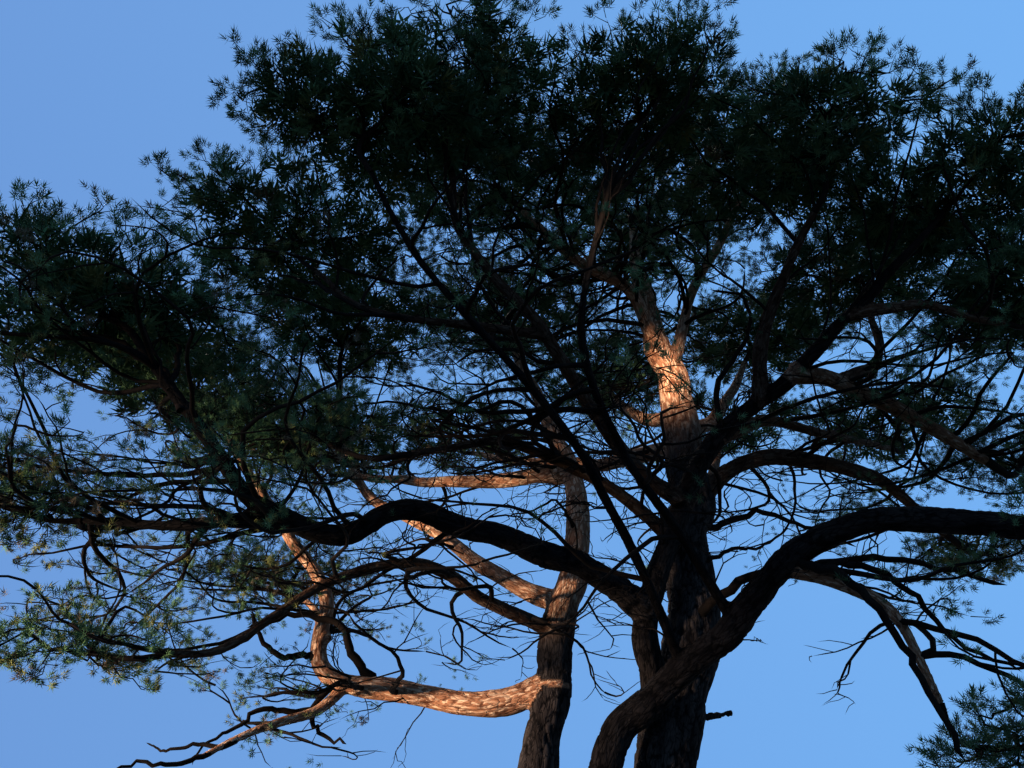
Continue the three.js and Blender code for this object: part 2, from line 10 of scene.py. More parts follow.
import bmesh
import bpy
import mathutils
import numpy as np
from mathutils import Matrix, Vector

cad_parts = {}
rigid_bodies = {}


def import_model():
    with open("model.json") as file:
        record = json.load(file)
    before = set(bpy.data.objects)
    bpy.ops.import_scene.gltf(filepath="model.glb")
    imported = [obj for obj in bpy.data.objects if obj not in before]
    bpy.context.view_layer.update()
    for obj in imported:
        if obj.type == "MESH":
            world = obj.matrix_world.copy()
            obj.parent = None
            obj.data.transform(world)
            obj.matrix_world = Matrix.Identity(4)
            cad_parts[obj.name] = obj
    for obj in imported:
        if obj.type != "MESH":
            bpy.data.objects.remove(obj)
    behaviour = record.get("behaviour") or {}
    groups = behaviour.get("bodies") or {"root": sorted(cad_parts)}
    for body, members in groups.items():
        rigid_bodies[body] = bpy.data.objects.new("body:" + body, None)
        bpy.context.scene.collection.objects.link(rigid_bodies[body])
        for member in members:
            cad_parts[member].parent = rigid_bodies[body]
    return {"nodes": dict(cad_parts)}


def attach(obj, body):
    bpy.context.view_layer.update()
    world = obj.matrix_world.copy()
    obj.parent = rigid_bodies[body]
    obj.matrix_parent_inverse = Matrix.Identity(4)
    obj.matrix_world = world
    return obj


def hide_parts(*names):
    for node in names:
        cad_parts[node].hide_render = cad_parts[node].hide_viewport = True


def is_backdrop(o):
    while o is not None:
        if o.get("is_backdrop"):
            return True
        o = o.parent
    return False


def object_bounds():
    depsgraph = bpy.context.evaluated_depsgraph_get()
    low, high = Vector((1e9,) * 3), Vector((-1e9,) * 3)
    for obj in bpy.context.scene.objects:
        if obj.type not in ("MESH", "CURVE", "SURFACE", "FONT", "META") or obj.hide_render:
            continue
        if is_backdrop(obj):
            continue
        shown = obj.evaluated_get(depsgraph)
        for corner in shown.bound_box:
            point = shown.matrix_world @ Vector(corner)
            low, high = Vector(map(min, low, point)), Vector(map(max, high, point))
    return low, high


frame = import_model()
cad_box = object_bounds()


def dense_mass(middle, half, twigs=8):
    """A thick mass of needles: its middle, how far it reaches each way and its twigs."""
    return dict(middle=middle, half=half, twigs=twigs, habit="dense")


def open_mass(middle, half, twigs=6):
    """A mass of needles that lets more of the sky through."""
    return dict(middle=middle, half=half, twigs=twigs, habit="open")


# Limbs, as in the solids: the places each runs through and its radii at foot and tip
TRUNK_TAPER_POWER = 2.2
TAPER_POWER = 1.25
COLLAR = dict(swell=0.3, reach=0.35)           # at the foot of a bough
FLARE = dict(swell=0.32, reach=0.65)           # at the foot of a stem
LINE_DIVISIONS = 200
LIMBS = {
    "trunk": dict(
        through=[(0.75, 0, 0), (1.5, 0, 3.1), (2.1, 0, 5.3), (2.35, 0, 7.9), (2.4, 0, 9.7),
            (2.1, 0, 11), (1.9, 0, 12.6), (1.9, 0, 14.3)],
        radius=(0.5, 0.08), power=TRUNK_TAPER_POWER, bark="grey",
        needles=dense_mass((2.3, 0.8, 15.1), (3.1, 2.7, 1.15)),
    ),
    "left_stem": dict(
        through=[(-0.72, 0.2, 0), (-0.4, 0.3, 3.1), (-0.15, 0.35, 5), (0.4, 0.6, 7.4),
            (0, 1.3, 9.6), (-0.6, 1.9, 11.6), (-0.9, 2.1, 12.7)],
        radius=(0.36, 0.09), bark="grey",
        needles=dense_mass((-1.2, 2.4, 13.6), (2.85, 2.6, 1.15)),
    ),
    "front_stem": dict(
        through=[(0, -0.35, 0), (0.5, -0.8, 3), (1.1, -1, 3.8), (2.4, -1.9, 4.8),
            (3.3, -2.8, 5.6), (4.2, -3.5, 5.6), (5.2, -4.5, 5.1)],
        radius=(0.26, 0.145), bark="grey",
        needles=open_mass((6.3, -5.1, 5.2), (1.7, 1.5, 0.8)),
    ),
    "leaning_stem": dict(
        parent="trunk",
        through=[(1.5, -0.05, 3), (1.3, -0.3, 4.1), (1.3, -0.6, 5.3), (1.65, -0.7, 6.3),
            (2.6, -1.2, 8), (4, -2.1, 9), (5.6, -3.1, 10.4)],
        radius=(0.24, 0.085), bark="grey",
        needles=dense_mass((6.8, -3.6, 11.6), (2.7, 2.45, 1.1)),
    ),
    "long_bough_left": dict(
        parent="leaning_stem",
        through=[(1.3, -0.6, 5.3), (0.5, -1, 5.7), (-0.9, -1.8, 6), (-2.5, -2.5, 6.2),
            (-3.3, -2.8, 5.7), (-4.3, -3.2, 5.9), (-4.9, -3.6, 6.5), (-6.1, -4, 7.9)],
        radius=(0.215, 0.07), bark="grey",
        needles=dense_mass((-7.3, -3.9, 8.8), (2.8, 2.5, 1.15)),
    ),
    "long_bough_fork": dict(
        parent="long_bough_left",
        through=[(-4.2, -3.16, 5.86), (-5.2, -3.3, 5.65), (-6.7, -3.3, 5.7)],
        radius=(0.095, 0.045), bark="grey",
        needles=open_mass((-7.9, -3.4, 5.9), (1.9, 1.5, 0.8)),
    ),
    "low_bough_left": dict(
        parent="left_stem",
        through=[(-0.12, 0.35, 5.2), (-1.4, -0.3, 5.6), (-2.5, -0.8, 6), (-3.8, -1.3, 5.5),
            (-4.9, -1.9, 4.4), (-5.6, -2.1, 4.25)],
        radius=(0.12, 0.05), bark="orange",
        needles=open_mass((-6.8, -2.2, 4.25), (2, 1.6, 0.85)),
    ),
    "orange_bough_left": dict(
        parent="left_stem",
        through=[(-0.26, 0.3, 4.3), (-1.4, 0.5, 4.1), (-2.7, 0.8, 4.3), (-4.2, 1.1, 4.7),
            (-4.4, 1.2, 6.1), (-5.2, 1.1, 7.2), (-6.6, 0.5, 9.1)],
        radius=(0.215, 0.065), bark="orange",
        needles=dense_mass((-7.5, -0.1, 9.95), (2.85, 2.6, 1.15)),
    ),
    "drooping_bough_left": dict(
        parent="orange_bough_left",
        through=[(-3.7, 1, 4.56), (-4.2, 0.85, 4.05), (-5, 0.2, 3.6), (-5.6, -0.2, 3.2)],
        radius=(0.095, 0.04), bark="orange",
    ),
    "low_bough_back": dict(
        parent="orange_bough_left",
        through=[(-4.26, 1.15, 5.3), (-4.7, 1.9, 6), (-5.2, 2.7, 6.5), (-5.6, 3.3, 6.7)],
        radius=(0.09, 0.05), bark="orange",
        needles=open_mass((-6, 3.9, 7.3), (2.3, 1.9, 0.85)),
    ),
    "orange_bough_back": dict(
        parent="left_stem",
        through=[(0, 0.43, 5.7), (-1.1, 1, 6.4), (-2.3, 1.5, 7.4), (-4, 2, 8.6),
            (-4.7, 1.8, 10.2), (-4.8, 1.6, 11.2)],
        radius=(0.165, 0.065), bark="orange",
        needles=dense_mass((-4.7, 1.3, 12.4), (2.9, 2.6, 1.15)),
    ),
    "middle_bough_left": dict(
        parent="leaning_stem",
        through=[(1.76, -0.76, 6.5), (0.8, -1, 7.25), (-0.9, -1.6, 7.8), (-2.5, -2.2, 7.3)],
        radius=(0.115, 0.055), bark="orange",
        needles=open_mass((-4.3, -2.4, 7.6), (1.9, 1.5, 0.85)),
    ),
    "climbing_bough_left": dict(
        parent="leaning_stem",
        through=[(2.05, -0.88, 7.05), (1.3, -1.2, 7.45), (0.5, -1.9, 8.2), (-0.4, -2.9, 9.2),
            (-1.7, -3.7, 10.5), (-1.9, -4.2, 11.5)],
        radius=(0.135, 0.06), bark="orange",
        needles=dense_mass((-1.5, -4.6, 12.9), (2.75, 2.45, 1.1)),
    ),
    "climbing_bough_fork": dict(
        parent="climbing_bough_left",
        through=[(-0.35, -2.85, 9.15), (-1.4, -3, 9.2), (-3.2, -3.3, 9.3), (-4.3, -2.9, 10.5)],
        radius=(0.08, 0.045), bark="orange",
        needles=dense_mass((-5, -2.5, 11.65), (2.85, 2.6, 1.15)),
    ),
    "slim_bough_front": dict(
        parent="front_stem",
        through=[(2.3, -1.85, 4.75), (1.5, -2.5, 5.9), (0.7, -3.2, 6.8), (0.1, -4.1, 8.2),
            (0.5, -4.6, 10.2), (1, -4.7, 11.5)],
        radius=(0.075, 0.045), bark="orange",
        needles=dense_mass((1.3, -4.5, 12.7), (2.45, 2.45, 1.1)),
    ),
    "slim_bough_front_left": dict(
        parent="front_stem",
        through=[(1.6, -1.3, 4.25), (0.7, -2.5, 5.85), (-0.3, -3.7, 7.1), (-2.2, -4.8, 9),
            (-3, -5.1, 10.5)],
        radius=(0.075, 0.045), bark="orange",
        needles=dense_mass((-3.1, -5, 11.7), (2.6, 2.4, 1.1)),
    ),
    "upright_bough_right": dict(
        parent="leaning_stem",
        through=[(3.4, -1.7, 8.6), (3.5, -2.2, 9.6), (3.8, -2.9, 10.4), (4.2, -3.7, 11.1)],
        radius=(0.135, 0.065), bark="orange",
        needles=dense_mass((4.4, -4, 12.15), (2.8, 2.5, 1.15)),
    ),
    "upper_bough_right": dict(
        parent="leaning_stem",
        through=[(4.9, -2.66, 9.76), (6, -2.7, 9.9), (6.9, -2.6, 9.7), (7.6, -2.45, 9.7)],
        radius=(0.105, 0.055), bark="orange",
        needles=dense_mass((8.4, -2.3, 10.35), (2.45, 2.3, 1.05), twigs=5),
    ),
    "far_bough_right": dict(
        parent="leaning_stem",
        through=[(3.9, -2.05, 8.95), (4.9, -1.7, 8.95), (6.3, -1.2, 8.5), (7.6, -0.7, 7.95)],
        radius=(0.155, 0.09), bark="orange",
        needles=open_mass((8.8, -0.1, 8.4), (2, 1.8, 0.85)),
    ),
    "high_bough_right": dict(
        parent="far_bough_right",
        through=[(4.8, -1.73, 8.96), (5.9, -1.3, 9.8), (6.4, -0.7, 11.6)],
        radius=(0.1, 0.055), bark="orange",
        needles=dense_mass((6.7, -0.2, 12.7), (2.95, 2.6, 1.15)),
    ),
    "middle_bough_right": dict(
        parent="trunk",
        through=[(2.33, 0, 7.3), (3.1, -0.1, 8.05), (4.1, -0.3, 8.2), (5.9, 0.1, 8),
            (7.5, 1.1, 7.3)],
        radius=(0.17, 0.085), bark="orange",
        needles=open_mass((8.6, 2.1, 7.2), (1.7, 1.55, 0.8)),
    ),
    "back_bough_right": dict(
        parent="leaning_stem",
        through=[(2.7, -1.26, 8.08), (3.8, -0.75, 8.75), (5.2, 0.05, 8.9), (7.4, 1.9, 9.6)],
        radius=(0.11, 0.055), bark="orange",
        needles=dense_mass((8.2, 2.9, 10.8), (2.6, 2.45, 1.1)),
    ),
    "drooping_bough_right": dict(
        parent="front_stem",
        through=[(3, -2.5, 5.32), (3.6, -2.75, 5), (4.1, -2.95, 4.5), (4.5, -2.7, 3.5)],
        radius=(0.1, 0.045), bark="orange",
        needles=open_mass((5.6, -3, 2.95), (1.7, 1.6, 0.85)),
    ),
    "top_bough_left": dict(
        parent="trunk",
        through=[(2.16, 0, 10.7), (1.5, -0.8, 11.8), (0.3, -1.4, 12.2), (-0.7, -1.7, 13.2)],
        radius=(0.155, 0.065), bark="orange",
        needles=dense_mass((-1.3, -1.5, 14.2), (2.95, 2.6, 1.15)),
    ),
    "top_bough_right": dict(
        parent="trunk",
        through=[(2.3, 0, 10.3), (3, -0.1, 12.3), (3.6, -0.7, 13.2), (3.9, -1.5, 13.7)],
        radius=(0.135, 0.065), bark="orange",
        needles=dense_mass((4.2, -1.8, 14.55), (2.85, 2.55, 1.15)),
    ),
}

# Boughs on the far side: the height each leaves its stem at, its tip, and its needles from there
BACK =dict(climb=1.5, shares=(0, 0.35, 0.7, 1), radius=(0.165, 0.065), half=(2.9, 2.6, 1.15),
    twigs=7)
BACK_BOUGHS = (
    dict(parent="trunk", leaves=8.6, tip=(-1.9, 4.6, 10.9), lift=(-0.5, 0.8, 0.9)),
    dict(parent="trunk", leaves=9.4, tip=(1.7, 4.1, 12.4), lift=(0.1, 0.8, 1.0)),
    dict(parent="trunk", leaves=9.0, tip=(4.8, 2.5, 12.3), lift=(0.5, 0.6, 1.0)),
    dict(parent="left_stem", leaves=8.5, tip=(-4.9, 3.6, 9.8), lift=(-0.8, 0.4, 1.0)),
    dict(parent="trunk", leaves=7.9, tip=(4.6, 5.0, 11.3), lift=(0.5, 0.6, 0.9)),
)

# Root crown, in which the stems start below ground by its height over stems_sunk
BOLE = dict(width=2.5, depth=1.75, height=0.9, sides=32, stems_sunk=3)
BOLE_PROFILE = ((1.06, -0.33), (1, 0), (0.8, 0.33), (0.42, 1))
BUTTRESS = dict(count=6, uneven=0.35, swing=5, height=1.05, foot=0.23, head=0.11, points=9,
    sides=14)
BUTTRESS_LINE = ((1.28, -0.22), (0.86, 0.3), (0.5, 1))
STUB = dict(start=(1.75, 0, 3.72), end=(2.56, -0.02, 3.86), foot=0.075, tip=0.05, points=6)

# Masses of needles, as in the solids
UNDERSIDE = 0.6
SPACE_MARGIN = 0.03
STEM = dict(steps=2, fit=0.95, bend=0.4, checks=4, thinned=0.8, points=8, sides=8)
TWIG = dict(foot=0.036, tip=0.02, thinned=0.5, sunk=0.2, sag=0.06, beyond=0.5, points=9,
    crooked=0.03, sides=6)
SPRAY = dict(share=0.5, smallest=0.4, shrink=0.9, thickness=0.2, teeth=5)
EDGE = dict(start=1.0, end=0.4, step=0.03)
LAYOUT = dict(
    top=2, top_out=0.26, top_up=0.6, rim_up=(0.3, -0.2),
    turn=0.4, up=0.12, smallest=0.85, top_lean=0.12, rim_lean=0.35, lean=0.15,
    lowest=0.5, along_stem=0.45,
)
TWIG_CLEARANCE = 0.04
SEED_STEP = 1000

# Thinner limbs that only the visual model has: the places each runs through and its radii
SIDE = dict(seed=500, points=22, crooked=0.3, sides=8)
SIDE_LIMBS = (
    dict(through=((2.75, -1.3, 8.4), (2.8, -1.4, 9.1), (3, -1.6, 9.4), (3.3, -1.8, 9.8),
        (3.4, -2, 10.2), (3.3, -2.2, 10.4), (3.1, -2.4, 10.4), (2.6, -2.6, 10.3)),
        radius=(0.06, 0.02)),
    dict(through=((-5.5, -3.85, 7.1), (-5.9, -3.7, 7.8), (-6.3, -3.8, 8), (-6.7, -3.9, 8.3),
        (-7.2, -4.1, 8.3), (-7.9, -4.2, 8.7)), radius=(0.055, 0.02)),
    dict(through=((-5.7, -3.9, 7.4), (-5.9, -3.6, 8.3), (-6.2, -3.7, 8.8), (-6.2, -3.8, 9.4)),
        radius=(0.05, 0.02)),
    dict(through=((-0.1, -1.35, 7.7), (-0.8, -1.3, 8.8), (-1.6, -1.5, 8.5), (-2.3, -1.6, 8.5),
        (-3, -1.8, 8.5), (-3.6, -2, 8.3)), radius=(0.05, 0.015)),
    dict(through=((0.3, 0.55, 7.1), (-0.1, -0.4, 7.3), (-0.5, -0.5, 7.1), (-1, -0.6, 6.9)),
        radius=(0.035, 0.01)),
    dict(through=((2.2, 0, 6.2), (2.9, -0.4, 6.4), (3.3, -0.5, 6.4), (3.9, -0.6, 6.7)),
        radius=(0.05, 0.012)),
    dict(through=((2.25, 0, 6.7), (2.7, 0.2, 7), (3.7, 0.3, 7.4), (4.7, 0.6, 7.2),
        (5.6, 0.8, 6.9)), radius=(0.075, 0.02)),
    dict(through=((-3.3, 0.95, 4.45), (-3.7, 0.9, 5), (-3.9, 0.8, 5.4), (-4.5, 0.7, 5.6),
        (-5.1, 0.6, 5.5), (-5.5, 0.5, 5.3)), radius=(0.085, 0.035)),
    dict(through=((-4.25, 1.1, 4.9), (-4.6, 1, 5), (-4.9, 0.8, 4.9), (-5.3, 0.7, 5.2),
        (-5.5, 0.6, 5.6)), radius=(0.07, 0.03)),
    dict(through=((-3.9, 1.05, 4.6), (-4.25, 0.9, 4.1), (-4.1, 0.8, 3.7), (-3.6, 0.7, 3.5)),
        radius=(0.065, 0.02)),
    dict(through=((-4.2, 0.85, 4.05), (-4.6, 0.7, 4), (-5, 0.5, 4), (-5.3, 0.3, 3.7),
        (-5.7, 0.1, 3.4), (-5.8, 0, 3.1)), radius=(0.06, 0.012)),
    dict(through=((-5.2, 0.08, 3.47), (-5.6, -0.2, 3.2), (-6, -0.5, 3.05), (-6.4, -0.65, 3.05),
        (-6.9, -1, 2.8)), radius=(0.05, 0.012)),
    dict(through=((-5.35, 0, 3.35), (-5.75, -0.05, 3.4), (-6.2, -0.1, 3.3), (-6.6, 0.1, 3.45)),
        radius=(0.038, 0.01)),
    dict(through=((2.2, -0.45, 5.3), (2.76, -1.2, 5.6), (3.3, -1.7, 5.6), (4.1, -2.1, 5.6),
        (5, -2.4, 5.4), (5.9, -2.7, 5)), radius=(0.085, 0.03)),
    dict(through=((2.9, -2.45, 5.3), (3.7, -3, 5.2), (4.3, -3.1, 4.8), (4.6, -3.2, 4.15),
        (5.2, -3.4, 3.7)), radius=(0.06, 0.02)),
    dict(through=((3.1, -2.65, 5.4), (3.5, -3.3, 4.85), (3.8, -3.45, 4.1), (3.95, -3.6, 3.4),
        (4, -3.8, 2.7)), radius=(0.07, 0.03)),
)

# Bark skin
VOXEL = 0.036                   # size of the cells in which the limbs are fused
LIMB_STEP = 0.12
SKIN_SIDES = 20
SMOOTHING = dict(rounds=5, inward=0.5, outward=-0.52)
WANDER = dict(share=0.3, spacing=0.7, seeds=10)    # how far a limb strays, in radii
SWELLING = dict(share=0.09, spacing=0.45)
FADING = dict(foot=0.8, tip=0.5)               # lengths over which both fade at a limb's ends
CELL = dict(margin=0.15, room=0.7)             # where a cell's centre may be in its cube
PLATE = dict(wide=0.11, long=0.42, warp=0.075, warp_scale=6, merging=0.3,
    merging_scale=(7, 7, 3), level=0.8)
FISSURE = dict(share=0.085, deepest=0.034, orange=0.4, narrow=0.04, wide=0.32, joint=0.05)
LUMPS = dict(scale=(9, 9, 4), height=0.45)
BARK_SEEDS = dict(warp=(71, 72, 73), warmth=74, lumps=75, merging=76, cells=5)
# How much of the grey bark shows; the rest is the near-black painted shade of limbs in shadow,
# most on thin boughs and the front stem
PAINTED_LIGHT = dict(radii=(0.1, 0.32), stem=0.5, bough=0.6, front=0.3)
TURNING = dict(scale=1.3, uneven=0.5,          # heights between which grey bark turns orange
    heights=dict(trunk=(7.9, 9.6), left_stem=(4.6, 6.4)))
# Painted sun and shade: boughs that lie in shade get less orange, down to dark bark, and sunlit
# ones keep more
PAINTED_SUN_WARMTH = dict(                                 # how orange a bough's bark is, where not fully
    low_bough_left=0.15, middle_bough_left=0.1, climbing_bough_left=0.1, climbing_bough_fork=0.1,
    slim_bough_front=0, slim_bough_front_left=0, upright_bough_right=0.1,
    upper_bough_right=0.2, far_bough_right=0.5, high_bough_right=0.2, middle_bough_right=0.15,
    back_bough_right=0.3, drooping_bough_right=0.8, back_bough_2=0.6, back_bough_3=0.6,
    back_bough_5=0.4,
)
BARK_PIECES = dict(trunk="bark_grey", stems="bark_grey", boughs_left="bark_orange",
    boughs_right="bark_orange")
CONTINUED = dict(stems=["front_bough_right"])  # the node that goes on where the front stem ends
STEM_FEET = dict(left_stem=0.17, front_stem=0.2)   # share of a stem in the trunk's piece
SPLIT_AT = 1.0

# Twigs
EVEN_STEPS = 1 / 1.2207440846057596 ** np.array([1, 2, 3])     # for spreading places evenly
CUBE_OVER_BALL = 6 / math.pi                   # a cube's volume over that of the ball inside it
CURVE = dict(leave=0.38, arrive=0.3, end_moves=0.5)
BRANCHLETS = dict(dense=84, open=60)           # per mass
THIN_MASSES = dict(back_bough_1=0.5, back_bough_2=0.8, back_bough_5=0.5, back_bough_4=0.7,
    back_bough_right=0.65, far_bough_right=0.75, middle_bough_right=0.75, long_bough_fork=0.85,
    low_bough_left=0.45, drooping_bough_right=0.8, front_stem=0.8)
BRANCHLET = dict(points=7, foot=0.017, tip=0.006, sizes=(0.75, 1.25), crooked=0.045, sides=3,
    edge=0.94, room=0.12, inward=0.3, straight=0.9, flatness=(1, 1, 0.4), up=0.35)
SHOOTS = 7                                     # per branchlet
SHOOT = dict(points=3, foot=0.0065, tip=0.0039, length=(0.28, 0.52), longer=1.15, shorter=0.4,
    crooked=0.016, sides=3, first=0.3, uneven=0.04, side=0.85, last_side=0.15, stray=0.28,
    up=0.22, tip_up=0.4)
RISERS = dict(seed=77, count=90, points=8, foot=0.034, tip=0.012, sizes=(0.7, 1.3), sides=5,
    out=0.7, heights=(-0.3, 0.2), longest=3.4, shortest=0.8, climb=0.45, thinnest=0.05,
    leave_stray=0.4, arrive_stray=0.35, up=0.2, crooked=0.035)
DEAD = dict(seed=78, count=220, points=7, foot=0.014, tip=0.003, sizes=(0.7, 1.3), sides=3,
    length=(0.5, 1.3), lowest=4.2, thickest=0.22, along=0.5, up=0.15, stray=0.5, sunk=0.5,
    crooked=0.03, forks=(0.3, 0.5, 0.7), uneven=0.1, fork_foot=0.0084, fork_length=(0.3, 0.6),
    fork_along=0.5, fork_crooked=0.022)

# Thin limbs that sway out from the boughs, each order growing from the one before it
SWAYING = (
    dict(points=15, length=(1.9, 4.4), foot=0.042, tip=0.012, sway=0.2, sides=5),
    dict(each=4, points=9, length=(0.7, 1.8), foot=0.016, tip=0.006, sway=0.26, sides=4),
    dict(each=4, points=4, length=(0.25, 0.6), foot=0.007, tip=0.004, sway=0.3, sides=3),
)
SWAYING_COUNT = 210
SWAYING_FROM = dict(seed=79, height=3.5, thickest=0.2, thinnest=0.045, along=0.8,
    flatness=(1, 1, 0.3), climb=(-0.25, 0.45), free=3)     # clear of limbs from point free on
SWAYING_OUTER = dict(middle=0.4, beyond=3.6, likelier=2.0)
SWAYING_DENSE = (                              # places, and how much likelier they are near them
    ((-6.4, -3.6, 7.2), 6), ((2.6, 0, 11.8), 6), ((0.2, -0.8, 11.4), 6), ((6.6, -1.4, 9), 4),
    ((4.2, -3, 4.2), 1.6),
)
SWAYING_NEAR = 1.9
SWAYING_BARE = dict(limb="front_stem", likelier=0.2)
SWAYING_FORKS = dict(shares=(0.3, 0.98), uneven=0.08, side=(0.4, 1.3), climb=(-0.3, 0.5))
DRIFT = dict(kept=0.55, flatness=(1, 1, 0.5), levelling=(1, 1, 0.9))
SWAYING_LOWEST = 2.6
SWAYING_HIGHEST = dict(outer=9.2, inner=13.8, within=4.2)      # where they aren't among needles
LEAFY = dict(seed=80, heights=(8.5, 10.5), distances=(3.9, 6.2), middle=(0.5, 0), most=0.85,
    sunny_side=-2.5, shady_tone="green")       # right of sunny_side no tone is past shady_tone

# Needles
TUFTS = dict(dense=5.1, open=4.2, swaying=5)   # per shoot
TUFT = dict(                                   # broad blades deep inside, fine brushes outside
    inner=dict(needles=6, ring=0.023, stagger=0.035, reach=0.105, angles=(60, 30), size=2),
    outer=dict(needles=6, ring=0.016, stagger=0.032, reach=0.086, angles=(74, 50, 26), size=1.0),
)
TUFT_SIZES = dict(dense=(0.8, 1.2), open=(0.7, 1.05), swaying=(0.6, 0.95))
TUFTING = dict(seeds=100, lowest=0.5, beside=(0.03, 0.12), outward=0.8, up=0.45, uneven=0.12,
    reach=0.1)
INSIDE = dict(reach=0.7, kept=0.48)            # where tufts are deep, and the share kept there
TRIANGLES_PER_PIECE = 198000
NEEDLE_TONES = {                               # linear colours, and the share of shoots
    "deep": dict(colour=(0.050, 0.100, 0.050), share=0.54),
    "green": dict(colour=(0.110, 0.188, 0.086), share=0.41),
    "sunlit": dict(colour=(0.175, 0.180, 0.065), share=0.03),
    "dry": dict(colour=(0.140, 0.108, 0.070), share=0.02),
}
SUNNY_MASSES = dict(                           # what is added to the shares of the last two tones
    low_bough_left=0.3, low_bough_back=0.5, long_bough_fork=0.35, swaying=0.25,
    orange_bough_left=0.1, back_bough_4=0.3, back_bough_1=0.2, middle_bough_right=0.15,
)
SUNNY_TONES = (0, 0, 1, 0.5)                   # how much of that each tone gets

# Finishes: linear colours, sizes of the patterns as scales, and stops of position and level
NOISE = dict(detail=4, roughness=0.6)
SPECULAR = 0.05
GREY_BARK = dict(crack=(0.005, 0.004, 0.004),
    plates=((0.35, (0.028, 0.022, 0.021)), (0.7, (0.080, 0.066, 0.062))))
# Near-black bark that is painted shade, for limbs that lie in shadow
PAINTED_SHADE_BARK = dict(crack=(0.0025, 0.002, 0.002),
    plates=((0.35, (0.007, 0.0055, 0.0055)), (0.7, (0.022, 0.0165, 0.014))))
ORANGE_BARK = dict(crack=(0.07, 0.022, 0.012),
    plates=((0, (0.40, 0.20, 0.115)), (0.55, (0.40, 0.20, 0.115)), (0.9, (0.74, 0.51, 0.35))))
BARK = dict(
    stretch=(1, 1, 0.26), fine=26, broad=5, plates=17, flakes=34,
    warp=dict(Scale=9, Detail=3), warped=0.11,
    plate_rims=((0, 0.35), (0.1, 1)), relief=((0, 0.1), (0.55, 1)),
    specks=((0.4, 0), (0.8, 0.75)), orange_specks=((0.4, 0), (0.8, 0.6)),
    orange_cracks=((0, 0.85), (0.55, 0)), crack_walls=((0, 0), (0.13, 1)),
    plate_height=0.7, fine_height=0.5, roughness=((0.3, 0.8), (0.7, 0.97)),
    bump=dict(Strength=0.75, Distance=0.02),
)
TWIG_BARK = dict(
    coarse=3, fine=60, crack=(0.006, 0.005, 0.0045),
    plates=((0.3, (0.006, 0.005, 0.0045)), (0.75, (0.030, 0.020, 0.016))),
    specks=((0.35, 0), (0.7, 0.7)), roughness=((0.3, 0.75), (0.7, 0.95)),
    bump=dict(Strength=0.5, Distance=0.004),
)
NEEDLE_GLOSS = dict(scale=30, roughness=((0.3, 0.5), (0.7, 0.75)))
FLOOR = dict(radius=600, sides=96, drop=0.004, colour=(0.46, 0.44, 0.41), darker=0.97,
    grain=0.6, roughness=0.95, specular=0.5)

# Camera and light
CAMERA = dict(place=(-0.9, -13.0, 1.6), pitch=33, focal_pixels=769, image_width=1024,
    sensor=36.0, sees=2000)
SKY = dict(left=(0.203, 0.392, 0.753), right=(0.231, 0.498, 0.911), turns=(-0.55, 0.55))
BELOW = dict(colour=(0.034, 0.046, 0.052), heights=(-0.22, -0.1))
GAMMA = 0.85
LIGHTS = dict(
    low_sun=dict(power=250000, place=(-40, -20.4, 0.8), aim=(-3.4, 0.6, 5), cone=12.5, radius=1.4),
    high_sun=dict(power=64000, place=(-3, -20, 8), aim=(1.95, -0.1, 10.1), cone=5.2, radius=0.5),
)
SUN = dict(colour=(1.0, 0.79, 0.59), blend=0.7)
TOP_LIGHT = dict(strength=4.0, colour=(1.0, 0.95, 0.87), comes_from=(-0.35, 0.75, 1.0), angle=25)

# Values of the arithmetic
MASK = 0xFFFFFFFF
UP = np.array((0, 0, 1.0))
STEEP = 0.9                     # a line that sets out steeper than this has its frame from X
CHUNK = 6000                    # places whose distances are worked out at a time
CORNERS = np.array([(x, y, z) for x in (0, 1) for y in (0, 1) for z in (0, 1)])
NEIGHBOURS = np.array([(x, y, z) for x in (-1, 0, 1) for y in (-1, 0, 1) for z in (-1, 0, 1)])


# Vectors, chance, smooth lines and noise
def unit(vectors):
    """The vectors at length 1."""
    return vectors / np.maximum(np.linalg.norm(vectors, axis=-1, keepdims=True), 1e-9)


def dot(a, b):
    """The dot product of each pair of vectors."""
    return np.sum(a * b, axis=-1)


def smooth_between(low, high, values):
    """0 below low, 1 above high and a smooth rise between them."""
    share = np.clip((values - low) / (high - low), 0, 1)
    return share * share * (3 - 2 * share)


def seeded_random(seed):
    """Numbers from 0 to 1, the same as those that the solids are grown by."""
    state = seed & MASK
    while True:
        state = (state + 0x6D2B79F5) & MASK
        mixed = ((state ^ (state >> 15)) * (state | 1)) & MASK
        mixed ^= (mixed + (mixed ^ (mixed >> 7)) * (mixed | 61)) & MASK
        yield ((mixed ^ (mixed >> 14)) & MASK) / 2**32


def catmull_rom(places, shares):
    """Points of the smooth line through places, at shares of its parameter."""
    places = np.asarray(places, float)
    padded = np.vstack([2 * places[0] - places[1], places, 2 * places[-1] - places[-2]])
    spans = len(places) - 1
    along = np.clip(shares, 0, 1) * spans
    span = np.minimum(along.astype(int), spans - 1)
    t = (along - span)[:, None]
    before, start, end, after = (padded[span + k] for k in range(4))
    leave, arrive = (end - before) / 2, (after - start) / 2
    return (start + leave * t + (3 * (end - start) - 2 * leave - arrive) * t**2
            + (2 * (start - end) + leave + arrive) * t**3)


def spaced(places, shares):
    """Points at shares of the length of the smooth line through places, and that length."""
    t = np.linspace(0, 1, LINE_DIVISIONS + 1)
    steps = np.linalg.norm(np.diff(catmull_rom(places, t), axis=0), axis=1)
    run = np.concatenate([[0], np.cumsum(steps)])
    return catmull_rom(places, np.interp(np.asarray(shares) * run[-1], run, t)), run[-1]


def evenly(places, count):
    """That many points at even steps along the smooth line through places."""
    return spaced(places, np.linspace(0, 1, count))[0]


